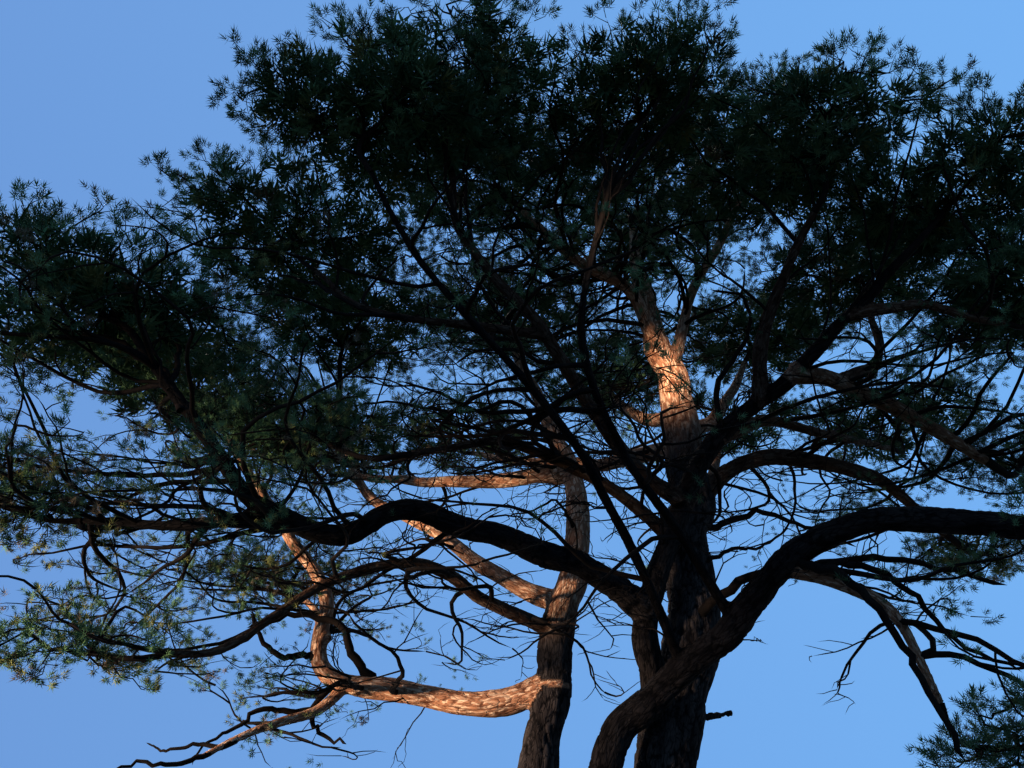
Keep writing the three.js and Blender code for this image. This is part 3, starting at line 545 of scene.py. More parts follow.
def lattice_values(corner, seed):
    """A number from 0 to 1 for each whole-numbered place, the same for the same seed."""
    x, y, z = (corner[..., axis].astype(np.int64) & MASK for axis in range(3))
    mixed = (x * 0x8DA6B343 + y * 0xD8163841 + z * 0xCB1AB31F + seed * 0x165667B1) & MASK
    mixed ^= mixed >> 13
    mixed = (mixed * 0x5BD1E995) & MASK
    mixed ^= mixed >> 15
    mixed = (mixed * 0x2C1B3C6D) & MASK
    mixed ^= mixed >> 12
    return mixed / 2**32


def value_noise(places, seed):
    """Smooth noise from -1 to 1."""
    low = np.floor(places)
    share = smooth_between(0, 1, places - low)
    total = np.zeros(places.shape[:-1])
    for corner in CORNERS:
        weight = np.prod(np.where(corner, share, 1 - share), axis=-1)
        total += weight * lattice_values(low + corner, seed)
    return 2 * total - 1


def cracks(places, seed):
    """How far each place is from the border of its cell, 0 on the border."""
    low = np.floor(places)
    nearest = np.full(places.shape[:-1], np.inf)
    second = nearest.copy()
    for neighbour in NEIGHBOURS:
        cell = low + neighbour
        jitter = np.stack([lattice_values(cell, seed + axis) for axis in range(3)], axis=-1)
        centre = cell + CELL["margin"] + CELL["room"] * jitter
        distance = np.linalg.norm(centre - places, axis=-1)
        second = np.minimum(second, np.maximum(nearest, distance))
        nearest = np.minimum(nearest, distance)
    return second - nearest


# Tubes and meshes
def frames_along(paths):
    """Tangents and two normals at each point of each path, turned as little as they can be."""
    tangents = unit(np.gradient(paths, axis=-2))
    level = np.where(np.abs(tangents[..., 0, 2:]) > STEEP, [[1.0, 0, 0]], UP[None])
    normal = unit(np.cross(tangents[..., 0, :], level.reshape(tangents[..., 0, :].shape)))
    normals = np.empty_like(tangents)
    for step in range(paths.shape[-2]):
        tangent = tangents[..., step, :]
        normal = unit(normal - tangent * dot(normal, tangent)[..., None])
        normals[..., step, :] = normal
    return tangents, normals, np.cross(tangents, normals)


def rings_round(paths, radii, sides):
    """A ring of places round each point of each path."""
    _, normals, binormals = frames_along(paths)
    angle = np.arange(sides) * 2 * math.pi / sides
    ring = (normals[..., None, :] * np.cos(angle)[:, None]
            + binormals[..., None, :] * np.sin(angle)[:, None]) * radii[..., None, None]
    return paths[..., None, :] + ring


def bands(first, sides):
    """The quads between each ring that starts at one of these vertices and the next ring."""
    side = np.arange(sides)
    turn = (side + 1) % sides
    low = first[..., None]
    return np.stack([low + side, low + turn, low + sides + turn, low + sides + side],
        axis=-1).reshape(-1, 4)


def tubes(paths, radii, sides):
    """Vertices and faces of a tube round each path, its foot open and its tip a point."""
    count, steps = paths.shape[:2]
    rings = rings_round(paths, radii, sides)[:, :-1].reshape(-1, 3)
    first = (np.arange(count) * (steps - 1) * sides)[:, None]
    last = first + (steps - 2) * sides
    side = np.arange(sides)
    tips = np.broadcast_to(len(rings) + np.arange(count)[:, None], (count, sides))
    ends = np.stack([last + side, last + (side + 1) % sides, tips], axis=-1).reshape(-1, 3)
    quads = bands(first + np.arange(steps - 2) * sides, sides)
    return np.vstack([rings, paths[:, -1]]), [quads, ends]


def closed_rings(rings, ends):
    """Vertices and faces of a skin over rings, closed by a fan at each of its two ends."""
    rows, sides = rings.shape[:2]
    side = np.arange(sides)
    turn = (side + 1) % sides
    top = (rows - 1) * sides
    foot_fan = np.stack([turn, side, np.full(sides, rows * sides)], axis=-1)
    tip_fan = np.stack([top + side, top + turn, np.full(sides, rows * sides + 1)], axis=-1)
    quads = bands(np.arange(rows - 1) * sides, sides)
    return np.vstack([rings.reshape(-1, 3), ends]), [quads, foot_fan, tip_fan]


def closed_tube(points, radii, sides):
    """A tube with a flat disc at each end."""
    return closed_rings(rings_round(points, radii, sides), points[[0, -1]])


class Growing:
    """Tubes gathered from many calls, to be joined into one mesh."""

    def __init__(self):
        self.vertices, self.faces, self.count = [], {}, 0

    def add(self, vertices, face_sets):
        """These vertices, and faces that count them from 0."""
        for faces in face_sets:
            self.faces.setdefault(faces.shape[1], []).append(faces + self.count)
        self.vertices.append(vertices)
        self.count += len(vertices)

    def grow(self, paths, foot, tip, sides, sizes=(1,)):
        """A tapering tube along each path, made thicker or thinner by its size."""
        radii = foot + (tip - foot) * np.linspace(0, 1, paths.shape[1])
        self.add(*tubes(paths, radii * np.asarray(sizes)[:, None], sides))

    def joined(self):
        """All the vertices, and the faces in one array for each count of corners."""
        return np.vstack(self.vertices), [np.vstack(sets) for sets in self.faces.values()]


def placed(name, data, place=(0, 0, 0)):
    """An object that shows this data in the scene."""
    made = bpy.data.objects.new(name, data)
    made.location = place
    bpy.context.scene.collection.objects.link(made)
    return made


def add_object(name, vertices, face_sets, material, smooth):
    """A mesh object made from arrays."""
    mesh = bpy.data.meshes.new(name)
    mesh.vertices.add(len(vertices))
    mesh.vertices.foreach_set("co", np.asarray(vertices, np.float32).ravel())
    sizes = np.concatenate([np.full(len(faces), faces.shape[1]) for faces in face_sets])
    corners = np.concatenate([faces.ravel() for faces in face_sets])
    mesh.loops.add(len(corners))
    mesh.loops.foreach_set("vertex_index", corners.astype(np.int32))
    mesh.polygons.add(len(sizes))
    mesh.polygons.foreach_set("loop_start", (np.cumsum(sizes) - sizes).astype(np.int32))
    mesh.polygons.foreach_set("use_smooth", np.full(len(sizes), smooth))
    mesh.update(calc_edges=True)
    mesh.validate()
    if material:
        mesh.materials.append(material)
    return placed(name, mesh)


# The lines of the limbs
def back_bough(parent, leaves, tip, lift):
    """A bough on the far side, as an entry like those in LIMBS."""
    places = np.array(LIMBS[parent]["through"], float)
    foot = np.array([np.interp(leaves, places[:, 2], places[:, axis]) for axis in range(3)])
    through = [foot + (np.array(tip) - foot) * (share, share, share**BACK["climb"])
        for share in BACK["shares"]]
    needles = dense_mass(tuple(np.add(tip, lift)), BACK["half"], twigs=BACK["twigs"])
    return dict(parent=parent, through=through, radius=BACK["radius"], bark="orange",
        needles=needles)


for number, bough in enumerate(BACK_BOUGHS, start=1):
    LIMBS[f"back_bough_{number}"] = back_bough(**bough)


def limb_radii(limb, shares, length):
    """A limb's radius at shares of its length: its taper and its swelling at the foot."""
    foot, tip = limb["radius"]
    swelling = COLLAR if "parent" in limb else FLARE
    taper = tip + (foot - tip) * (1 - shares ** limb.get("power", TAPER_POWER))
    return taper * (1 + swelling["swell"] * np.exp(-shares * length / swelling["reach"]))


def limb_line(limb):
    """Points along a limb at even steps, with its radius, run and frame at each."""
    length = spaced(limb["through"], [0])[1]
    shares = np.linspace(0, 1, math.ceil(length / LIMB_STEP) + 1)
    points = spaced(limb["through"], shares)[0]
    tangents, normals, binormals = frames_along(points)
    return dict(points=points, radii=limb_radii(limb, shares, length), run=shares * length,
        length=length, tangents=tangents, normals=normals, binormals=binormals)


names = list(LIMBS)
lines = {name: limb_line(limb) for name, limb in LIMBS.items()}


def samples(key):
    """One value of all the points along the limbs, limb after limb."""
    return np.concatenate([line[key] for line in lines.values()])


centres, thickness, headings = samples("points"), samples("radii"), samples("tangents")
limb_of = np.repeat(np.arange(len(lines)), [len(line["run"]) for line in lines.values()])
first_of = np.searchsorted(limb_of, np.arange(len(lines)))


# The bark skin
def noise_along(run, spacing, seed):
    """Smooth noise from -1 to 1 along a limb."""
    places = np.zeros((len(run), 3))
    places[:, 0] = run / spacing
    return value_noise(places, seed)


def wandering(line, seed):
    """A limb's points moved off its line a little, and its radii swollen here and there."""
    run, length, radii = line["run"], line["length"], line["radii"]
    shift = np.stack([noise_along(run, WANDER["spacing"], seed + axis) for axis in range(3)],
        axis=1)
    swell = noise_along(run, SWELLING["spacing"], seed + 3)
    ends = smooth_between(0, FADING["foot"], run) * smooth_between(0, FADING["tip"], length - run)
    points = line["points"] + shift * (WANDER["share"] * radii * ends)[:, None]
    return points, radii * (1 + SWELLING["share"] * swell * ends)


def root_crown():
    """The root crown and its buttresses, reaching a little below the ground."""
    grown = Growing()
    turn = np.arange(BOLE["sides"]) * 2 * math.pi / BOLE["sides"]
    half = np.array([BOLE["width"] / 2, BOLE["depth"] / 2])
    rings = np.array([np.column_stack([np.cos(turn) * half[0] * out, np.sin(turn) * half[1] * out,
        np.full(len(turn), up * BOLE["height"])]) for out, up in BOLE_PROFILE])
    grown.add(*closed_rings(rings, rings[[0, -1], 0] * UP))
    radii = np.linspace(BUTTRESS["foot"], BUTTRESS["head"], BUTTRESS["points"])
    for i in range(BUTTRESS["count"]):
        angle = (i / BUTTRESS["count"] * 2 * math.pi
            + BUTTRESS["uneven"] * math.sin(BUTTRESS["swing"] * i))
        places = [(math.cos(angle) * out * half[0], math.sin(angle) * out * half[1],
            up * BUTTRESS["height"]) for out, up in BUTTRESS_LINE]
        points = evenly(places, BUTTRESS["points"])
        grown.add(*closed_tube(points, radii, BUTTRESS["sides"]))
    return grown


def fused_wood():
    """Every limb and the root crown fused into one skin of even quads."""
    grown = root_crown()
    for number, (name, line) in enumerate(lines.items()):
        points, radii = wandering(line, WANDER["seeds"] * number)
        if "parent" not in LIMBS[name]:
            below = points[0] - line["tangents"][0] * BOLE["height"] / BOLE["stems_sunk"]
            points, radii = np.vstack([below, points]), np.concatenate([radii[:1], radii])
        grown.add(*closed_tube(points, radii, SKIN_SIDES))
    stub = evenly([STUB["start"], STUB["end"]], STUB["points"])
    stub_radii = np.linspace(STUB["foot"], STUB["tip"], STUB["points"])
    grown.add(*closed_tube(stub, stub_radii, SKIN_SIDES))
    rough = add_object("rough_wood", *grown.joined(), None, False)
    remesh = rough.modifiers.new("fuse", "REMESH")
    remesh.mode = "VOXEL"
    remesh.voxel_size = VOXEL
    evaluated = rough.evaluated_get(bpy.context.evaluated_depsgraph_get())
    mesh = evaluated.to_mesh()
    vertices = np.empty(len(mesh.vertices) * 3, np.float32)
    mesh.vertices.foreach_get("co", vertices)
    corners = np.empty(len(mesh.loops), np.int32)
    mesh.loops.foreach_get("vertex_index", corners)
    evaluated.to_mesh_clear()
    bpy.data.objects.remove(rough)
    return vertices.reshape(-1, 3).astype(float), corners.reshape(-1, 4)


def edges_of(quads):
    """Each edge of the quads once."""
    pairs = np.vstack([quads[:, [k, (k + 1) % 4]] for k in range(4)])
    return np.unique(np.sort(pairs, axis=1), axis=0)


def gathered(index, vectors, count):
    """The sum of the vectors at each index from 0 up to count."""
    return np.stack([np.bincount(index, vectors[:, axis], count) for axis in range(3)], axis=1)


def smoothed(vertices, quads):
    """The skin with the steps of its cells taken out and its thickness kept."""
    count = len(vertices)
    first, second = edges_of(quads).T
    degree = np.bincount(first, minlength=count) + np.bincount(second, minlength=count)
    for _ in range(SMOOTHING["rounds"]):
        for weight in (SMOOTHING["inward"], SMOOTHING["outward"]):
            total = (gathered(first, vertices[second], count)
                + gathered(second, vertices[first], count))
            vertices = vertices + weight * (total / degree[:, None] - vertices)
    return vertices


def vertex_normals(vertices, quads):
    """The way the skin faces at each vertex."""
    across = np.cross(vertices[quads[:, 2]] - vertices[quads[:, 0]],
        vertices[quads[:, 3]] - vertices[quads[:, 1]])
    return unit(sum(gathered(quads[:, k], across, len(vertices)) for k in range(4)))


def surface_distances(places):
    """Some of the places at a time: where they are and how far each sample's surface is."""
    for start in range(0, len(places), CHUNK):
        part = places[start:start + CHUNK]
        square = (part**2).sum(1)[:, None] + (centres**2).sum(1) - 2 * part @ centres.T
        yield slice(start, start + CHUNK), np.sqrt(np.maximum(square, 0)) - thickness


def nearest_samples(places):
    """For each place the nearest sample of a limb and how much nearer that limb is."""
    sample = np.empty(len(places), int)
    lead = np.empty(len(places))
    for rows, distances in surface_distances(places):
        by_limb = np.partition(np.minimum.reduceat(distances, first_of, axis=1), 1, axis=1)
        sample[rows] = distances.argmin(1)
        lead[rows] = by_limb[:, 1] - by_limb[:, 0]
    return sample, lead


def room_to_limbs(places):
    """How far places are from the surface of the nearest limb."""
    room = np.empty(len(places))
    for rows, distances in surface_distances(places):
        room[rows] = distances.min(1)
    return room


def bark_places(vertices, sample):
    """Where each place lies round and along its limb, in the limb's own frame."""
    offset = vertices - centres[sample]
    beside, above, along = (dot(offset, samples(key)[sample])
        for key in ("normals", "binormals", "tangents"))
    return np.column_stack([beside, above, samples("run")[sample] + along])


def warmth_of(vertices, limb):
    """How orange the bark is at each place, from 0 to 1."""
    # Per bough this is painted sun and shade; on the trunk and left stem it is the real turn to
    # orange bark with height
    orange = np.array([PAINTED_SUN_WARMTH.get(name, float(LIMBS[name]["bark"] == "orange"))
        for name in names])[limb]
    noise = value_noise(vertices * TURNING["scale"], BARK_SEEDS["warmth"])
    height = vertices[:, 2] + TURNING["uneven"] * noise
    for name, heights in TURNING["heights"].items():
        mine = limb == names.index(name)
        orange[mine] = smooth_between(*heights, height[mine])
    return orange


def painted_light_of(limb, sample):
    """How much of the grey bark shows over its near-black painted shade: fully on the trunk and
    stems, little on thin boughs and less on the front stem.
    """
    on_stem = np.array(["parent" not in entry for entry in LIMBS.values()])[limb]
    thick = smooth_between(*PAINTED_LIGHT["radii"], thickness[sample])
    return np.where(limb == names.index("front_stem"), PAINTED_LIGHT["front"],
        np.where(on_stem, np.maximum(thick, PAINTED_LIGHT["stem"]), PAINTED_LIGHT["bough"] * thick))


def bark_skin():
    """The skin with its fissures, each vertex's limb, and the fields that its colours read."""
    vertices, quads = fused_wood()
    vertices = smoothed(vertices, quads)
    sample, lead = nearest_samples(vertices)
    limb = limb_of[sample]
    place = bark_places(vertices, sample)
    warp = np.stack([value_noise(place * PLATE["warp_scale"], seed)
        for seed in BARK_SEEDS["warp"]], axis=1)
    cell = (place + PLATE["warp"] * warp) / (PLATE["wide"], PLATE["wide"], PLATE["long"])
    joined = value_noise(place * PLATE["merging_scale"], BARK_SEEDS["merging"])
    border = cracks(cell, BARK_SEEDS["cells"]) + PLATE["merging"] * np.maximum(joined, 0)
    plate = smooth_between(FISSURE["narrow"], FISSURE["wide"], border)
    warmth = warmth_of(vertices, limb)
    depth = np.minimum(FISSURE["share"] * thickness[sample], FISSURE["deepest"])
    depth *= 1 - (1 - FISSURE["orange"]) * warmth
    depth *= smooth_between(0, FISSURE["joint"], lead)
    lumps = value_noise(place * LUMPS["scale"], BARK_SEEDS["lumps"]) * LUMPS["height"]
    relief = depth * (plate - PLATE["level"] + lumps)
    vertices = vertices + vertex_normals(vertices, quads) * relief[:, None]
    fields = dict(bark_place=place, warmth=warmth, painted_light=painted_light_of(limb, sample), relief=plate)
    return vertices, quads, limb, fields


# The masses of needles and the sprays in them
def mass_of(name, limb):
    """A mass of needles, with the tip of the limb that it grows from."""
    needles = limb["needles"]
    before, tip = catmull_rom(limb["through"], np.array([1 - 1e-4, 1.0]))
    return dict(needles, name=name, tip=tip, heading=unit(tip - before),
        tip_radius=limb["radius"][1], middle=np.array(needles["middle"]),
        half=np.array(needles["half"]))


masses = [mass_of(name, limb) for name, limb in LIMBS.items() if "needles" in limb]


def reach_in(mass, places):
    """How far places are from the middle of a mass: 1 is at the edge of its space."""
    offset = places - mass["middle"]
    height = mass["half"][2] * np.where(offset[..., 2] < 0, UNDERSIDE, 1)
    return np.sqrt((offset[..., 0] / mass["half"][0])**2 + (offset[..., 1] / mass["half"][1])**2
        + (offset[..., 2] / height)**2)


def in_space(mass, places):
    """Whether places are in a mass's space and nearer to it than to any other mass."""
    reach = reach_in(mass, places)
    inside = reach < 1
    for other in masses:
        if other is not mass:
            inside &= reach_in(other, places) > reach + SPACE_MARGIN
    return inside


def in_any_space(places):
    """Whether places are in the space of some mass."""
    return np.any([reach_in(mass, places) < 1 for mass in masses], axis=0)


def is_inside(places):
    """Whether places are well inside some dense mass, where only dark layers are seen."""
    return np.any([reach_in(mass, places) < INSIDE["reach"] for mass in masses
        if mass["habit"] == "dense"], axis=0)


def in_box(places):
    """Whether places are within the box of the solids."""
    return np.all((places > np.array(cad_box[0])) & (places < np.array(cad_box[1])), axis=-1)


def farthest(mass, turn, up):
    """The farthest place of a mass in one direction, at one height, before a neighbour."""
    share = EDGE["start"]
    while share > EDGE["end"]:
        place = mass["middle"] + mass["half"] * (math.cos(turn) * share, math.sin(turn) * share,
            up * (UNDERSIDE if up < 0 else 1))
        if in_space(mass, place):
            return place
        share -= EDGE["step"]
    return None


def spray_plan(mass, seed):
    """The sprays of a mass: some on top and the others round its rim, as in the solids."""
    draw = seeded_random(seed)
    start = next(draw) * math.pi * 2
    rim = mass["twigs"] - LAYOUT["top"]
    for i in range(mass["twigs"]):
        on_top = i >= rim
        turn = start + ((i - rim) * math.pi if on_top else i / rim * math.pi * 2)
        turn += (next(draw) - 0.5) * LAYOUT["turn"]
        up = LAYOUT["top_up"] if on_top else LAYOUT["rim_up"][i % 2]
        up += (next(draw) - 0.5) * LAYOUT["up"]
        size = LAYOUT["smallest"] + (1 - LAYOUT["smallest"]) * next(draw)
        lean = LAYOUT["top_lean" if on_top else "rim_lean"] + LAYOUT["lean"] * next(draw)
        along = LAYOUT["lowest"] + LAYOUT["along_stem"] * next(draw)
        edge = farthest(mass, turn, up)
        if edge is not None:
            yield dict(on_top=on_top, turn=turn, edge=edge, size=size, lean=lean, along=along)


def spray_place(mass, plan, radius):
    """The middle of one spray and the way it faces, when it has this radius."""
    outward = np.array([math.cos(plan["turn"]), math.sin(plan["turn"]), 0])
    facing = unit(outward * plan["lean"] + UP)
    centre = plan["edge"] - outward * radius
    if plan["on_top"]:
        centre = mass["middle"] + outward * LAYOUT["top_out"] * mass["half"]
        centre[2] = plan["edge"][2]
    return centre, facing, outward


def spray_fits(mass, centre, facing, outward, radius):
    """Whether a spray's tips are in its space and it lies clear of the limbs."""
    across = unit(np.cross(facing, outward))
    along = np.cross(across, facing)
    angle = np.arange(SPRAY["teeth"] * 2) * math.pi / SPRAY["teeth"]
    tips = centre + radius * (np.cos(angle)[:, None] * along + np.sin(angle)[:, None] * across)
    offset = centres - centre
    height = np.abs(offset @ facing)
    beside = np.sqrt(np.maximum((offset**2).sum(1) - height**2, 0))
    clear = ((height > thickness + SPRAY["thickness"] / 2 + TWIG_CLEARANCE)
        | (beside > thickness + radius + TWIG_CLEARANCE))
    return in_space(mass, tips).all() and clear.all()


def stem_places(mass):
    """The places that a mass's stem runs through, from its bough's tip to its middle."""
    reach = np.linalg.norm(mass["middle"] - mass["tip"])
    return [mass["tip"], mass["tip"] + mass["heading"] * reach * STEM["bend"], mass["middle"]]


def main_twigs(mass, seed):
    """The lines of a mass's twigs: from its stem into each spray and on towards its rim."""
    stem = stem_places(mass)
    checks = STEM["steps"] * STEM["checks"]
    for plan in spray_plan(mass, seed):
        size = plan["size"]
        while size >= SPRAY["smallest"]:
            radius = SPRAY["share"] * mass["half"][1] * size
            centre, facing, outward = spray_place(mass, plan, radius)
            if spray_fits(mass, centre, facing, outward, radius):
                foot = spaced(stem, [round(plan["along"] * checks) / checks])[0][0]
                flat = -outward + facing * dot(outward, facing)
                end = centre + flat * TWIG["sunk"] * radius
                bend = (foot + end) / 2 - TWIG["sag"] * UP
                yield [foot, bend, end, centre - flat * TWIG["beyond"] * radius]
                break
            size *= SPRAY["shrink"]


# Twigs, shoots and tufts
def even_places(count, start):
    """Places spread evenly in the unit cube by a sequence that never clumps."""
    return (start + np.arange(1, count + 1)[:, None] * EVEN_STEPS) % 1


def along_paths(paths, shares):
    """Points and headings at shares of each of many paths with evenly spaced points."""
    steps = paths.shape[1] - 1
    at = np.clip(shares, 0, 1) * steps
    low = np.minimum(at.astype(int), steps - 1)
    row = np.arange(len(paths))[:, None]
    start, end = paths[row, low], paths[row, low + 1]
    return start + (end - start) * (at - low)[..., None], unit(end - start)


def curved(start, leave, arrive, end, points):
    """Paths that leave start one way and reach end another, with this many points."""
    t = np.linspace(0, 1, points)[None, :, None]
    length = np.linalg.norm(end - start, axis=-1)[:, None]
    first = start + leave * length * CURVE["leave"]
    second = end - arrive * length * CURVE["arrive"]
    return (start[:, None] * (1 - t)**3 + 3 * first[:, None] * t * (1 - t)**2
            + 3 * second[:, None] * t**2 * (1 - t) + end[:, None] * t**3)


def crooked(paths, by, random):
    """The same paths with every point but the first moved a little, the last less."""
    shift = random.normal(0, 1, paths.shape) * by
    shift[:, 0] = 0
    shift[:, -1] *= CURVE["end_moves"]
    return paths + shift


def sideways(heading, random):
    """A way out from each heading, at right angles to it, by chance."""
    return unit(np.cross(heading, random.normal(0, 1, heading.shape)))


def branchlet_paths(mass, paths, random):
    """Paths from a mass's main twigs out to places spread evenly through its space."""
    count = BRANCHLETS[mass["habit"]] * THIN_MASSES.get(mass["name"], 1) * CUBE_OVER_BALL
    spots = even_places(round(count), random.random(3)) * 2 - 1
    spots = spots[np.linalg.norm(spots, axis=1) < BRANCHLET["edge"]]
    spots *= mass["half"] * np.column_stack([np.ones((len(spots), 2)),
        np.where(spots[:, 2] < 0, UNDERSIDE, 1)])
    ends = mass["middle"] + spots
    ends = ends[in_space(mass, ends) & in_box(ends)]
    ends = ends[room_to_limbs(ends) > BRANCHLET["room"]]
    wanted = ends + (mass["middle"] - ends) * BRANCHLET["inward"]
    nodes = np.vstack([path[2:] for path in paths])
    ways = np.vstack([unit(np.gradient(path, axis=0))[2:] for path in paths])
    nearest = np.linalg.norm(wanted[:, None] - nodes, axis=2).argmin(1)
    start = nodes[nearest]
    leave = unit(ways[nearest] + BRANCHLET["straight"] * unit(ends - start))
    outward = unit((ends - mass["middle"]) * BRANCHLET["flatness"])
    arrive = unit(outward + unit(ends - start) + BRANCHLET["up"] * UP)
    grown = curved(start, leave, arrive, ends, BRANCHLET["points"])
    return crooked(grown, BRANCHLET["crooked"], random)


def shoot_paths(branchlets, random):
    """Shoots on both sides of each branchlet and one at its end, turned a little upwards."""
    uneven = SHOOT["uneven"]
    shares = (np.linspace(SHOOT["first"], 1, SHOOTS)
        + random.uniform(-uneven, uneven, (len(branchlets), SHOOTS)))
    shares[:, -1] = 1
    start, heading = along_paths(branchlets, shares)
    side = unit(np.cross(heading, UP))
    hand = np.where(np.arange(SHOOTS) % 2, 1, -1) * np.where(shares < 1, 1, SHOOT["last_side"])
    leave = unit(heading + SHOOT["side"] * side * hand[..., None]
        + random.normal(0, SHOOT["stray"], start.shape) + SHOOT["up"] * UP)
    length = random.uniform(*SHOOT["length"], shares.shape)
    length = length * (SHOOT["longer"] - SHOOT["shorter"] * shares)
    start, leave = start.reshape(-1, 3), leave.reshape(-1, 3)
    arrive = unit(leave + SHOOT["tip_up"] * UP)
    end = start + unit(leave + arrive) * length.reshape(-1, 1)
    grown = curved(start, leave, arrive, end, SHOOT["points"])
    return crooked(grown, SHOOT["crooked"], random)


def tuft_places(shoots, per_shoot, random):
    """Where the tufts of each shoot are and the way each points: one at its tip, more below."""
    many = math.ceil(per_shoot)
    shares = np.broadcast_to(np.linspace(1, TUFTING["lowest"], many), (len(shoots), many))
    place, heading = along_paths(shoots, shares)
    side = sideways(heading, random)
    lower = (np.arange(many) > 0)[None, :, None]
    place = place + side * lower * random.uniform(*TUFTING["beside"], (len(shoots), many, 1))
    points = unit(heading + side * lower * TUFTING["outward"] + TUFTING["up"] * UP)
    keep = random.random((len(shoots), many)) < per_shoot / many
    keep[:, 0] = True
    shoot = np.broadcast_to(np.arange(len(shoots))[:, None], keep.shape)
    return place[keep], points[keep], shoot[keep]


def tuft_shape(needles, ring, stagger, reach, angles, size):
    """One tuft: rings of needles round a shoot's end, each a blade drawn to a point."""
    vertices, faces = [], []
    for number, angle in enumerate(map(math.radians, angles)):
        low = number * 2 * needles
        foot = (ring, number * stagger)
        tip = (ring + reach * math.sin(angle), number * stagger + reach * math.cos(angle))
        for between, (out, height) in ((0, foot), (0.5, tip)):
            for k in range(needles):
                turn = (k + between + number / len(angles)) / needles * 2 * math.pi
                vertices.append((math.cos(turn) * out, math.sin(turn) * out, height))
        faces += [(low + k, low + (k + 1) % needles, low + needles + k) for k in range(needles)]
    return np.array(vertices) * size, np.array(faces)


def needle_mesh(places, points, sizes, kind, random):
    """Vertices and faces of a tuft at each place, each turned by chance."""
    shape, faces = tuft_shape(**TUFT[kind])
    side = sideways(points, random)
    axes = np.stack([side, np.cross(points, side), points], axis=1)
    uneven = 1 + random.normal(0, TUFTING["uneven"], (len(places), len(shape), 1))
    vertices = places[:, None] + (shape * sizes[:, None, None] * uneven) @ axes
    offsets = (np.arange(len(places)) * len(shape))[:, None, None]
    return vertices.reshape(-1, 3), [(faces + offsets).reshape(-1, 3)]


def tone_of(mass_name, ends, random):
    """Which tone of needles each shoot has, dealt out by chance and more sunlit at the left."""
    shares = np.array([tone["share"] for tone in NEEDLE_TONES.values()])
    weights = np.tile(shares, (len(ends), 1))
    weights += SUNNY_MASSES.get(mass_name, 0) * np.array(SUNNY_TONES)
    weights /= weights.sum(1, keepdims=True)
    return (random.random((len(ends), 1)) > np.cumsum(weights, axis=1)).sum(1)


wood = {name: Growing() for name in ("branches", "branchlets", "shoots", "side_twigs")}


def grow_mass(mass, seed):
    """The twigs of one mass, added to the wood, and its tufts' places, ways, sizes and tones."""
    random = np.random.default_rng(seed)
    habit = mass["habit"]
    stem = evenly(stem_places(mass), STEM["points"])[None]
    wood["branches"].grow(stem, mass["tip_radius"] * STEM["fit"], TWIG["foot"] * STEM["thinned"],
        STEM["sides"])
    main = np.array([evenly(path, TWIG["points"]) for path in main_twigs(mass, seed)])
    main = crooked(main, TWIG["crooked"], random)
    wood["branches"].grow(main, TWIG["foot"], TWIG["tip"] * TWIG["thinned"], TWIG["sides"])
    branchlets = branchlet_paths(mass, [stem[0], *main], random)
    sizes = random.uniform(*BRANCHLET["sizes"], len(branchlets))
    wood["branchlets"].grow(branchlets, BRANCHLET["foot"], BRANCHLET["tip"], BRANCHLET["sides"],
        sizes)
    shoots = shoot_paths(branchlets, random)
    shoots = shoots[in_any_space(shoots[:, -1]) & in_box(shoots[:, -1])]
    shoots = shoots[room_to_limbs(shoots[:, -1]) > TWIG_CLEARANCE]
    wood["shoots"].grow(shoots, SHOOT["foot"], SHOOT["tip"], SHOOT["sides"])
    place, point, shoot = tuft_places(shoots, TUFTS[habit], random)
    tip = place + point * TUFTING["reach"]
    inside = is_inside(tip)
    keep = in_any_space(tip) & in_box(tip) & (room_to_limbs(place) > TWIG_CLEARANCE)
    keep &= ~inside | (random.random(len(tip)) < INSIDE["kept"])
    tone = tone_of(mass["name"], shoots[:, -1], random)
    size = random.uniform(*TUFT_SIZES[habit], keep.sum())
    return place[keep], point[keep], size, tone[shoot[keep]], inside[keep]


# Limbs and twigs between the masses
def grow_side_limbs():
    """The thinner limbs between the boughs."""
    for number, limb in enumerate(SIDE_LIMBS):
        path = evenly(limb["through"], SIDE["points"])[None]
        random = np.random.default_rng(SIDE["seed"] + number)
        path = crooked(path, SIDE["crooked"] * limb["radius"][0], random)
        wood["branches"].grow(path, *limb["radius"], SIDE["sides"])


def riser_ends(random):
    """Where each riser starts and ends and the way it sets out."""
    found = []
    while len(found) < RISERS["count"]:
        mass = masses[random.integers(len(masses))]
        turn, out = random.uniform(0, 2 * math.pi), math.sqrt(random.random()) * RISERS["out"]
        end = mass["middle"] + mass["half"] * (math.cos(turn) * out, math.sin(turn) * out,
            random.uniform(*RISERS["heights"]) * UNDERSIDE)
        if not (mass["habit"] == "dense" and in_space(mass, end)):
            continue
        away = end - centres
        distance = np.linalg.norm(away, axis=1)
        fits = (distance < RISERS["longest"]) & (distance > RISERS["shortest"])
        fits &= (away[:, 2] > RISERS["climb"] * distance) & (thickness > RISERS["thinnest"])
        if fits.any():
            chosen = random.choice(np.flatnonzero(fits))
            stray = random.normal(0, RISERS["leave_stray"], 3)
            leave = unit(headings[chosen] + unit(away[chosen]) + stray)
            found.append((centres[chosen], end, leave))
    return (np.array(values) for values in zip(*found))


def grow_risers():
    """Thin limbs that climb from the boughs into the masses above them."""
    random = np.random.default_rng(RISERS["seed"])
    start, end, leave = riser_ends(random)
    stray = random.normal(0, RISERS["arrive_stray"], start.shape)
    arrive = unit(unit(end - start) + stray + RISERS["up"] * UP)
    paths = crooked(curved(start, leave, arrive, end, RISERS["points"]), RISERS["crooked"], random)
    sizes = random.uniform(*RISERS["sizes"], len(paths))
    wood["branches"].grow(paths, RISERS["foot"], RISERS["tip"], RISERS["sides"], sizes)


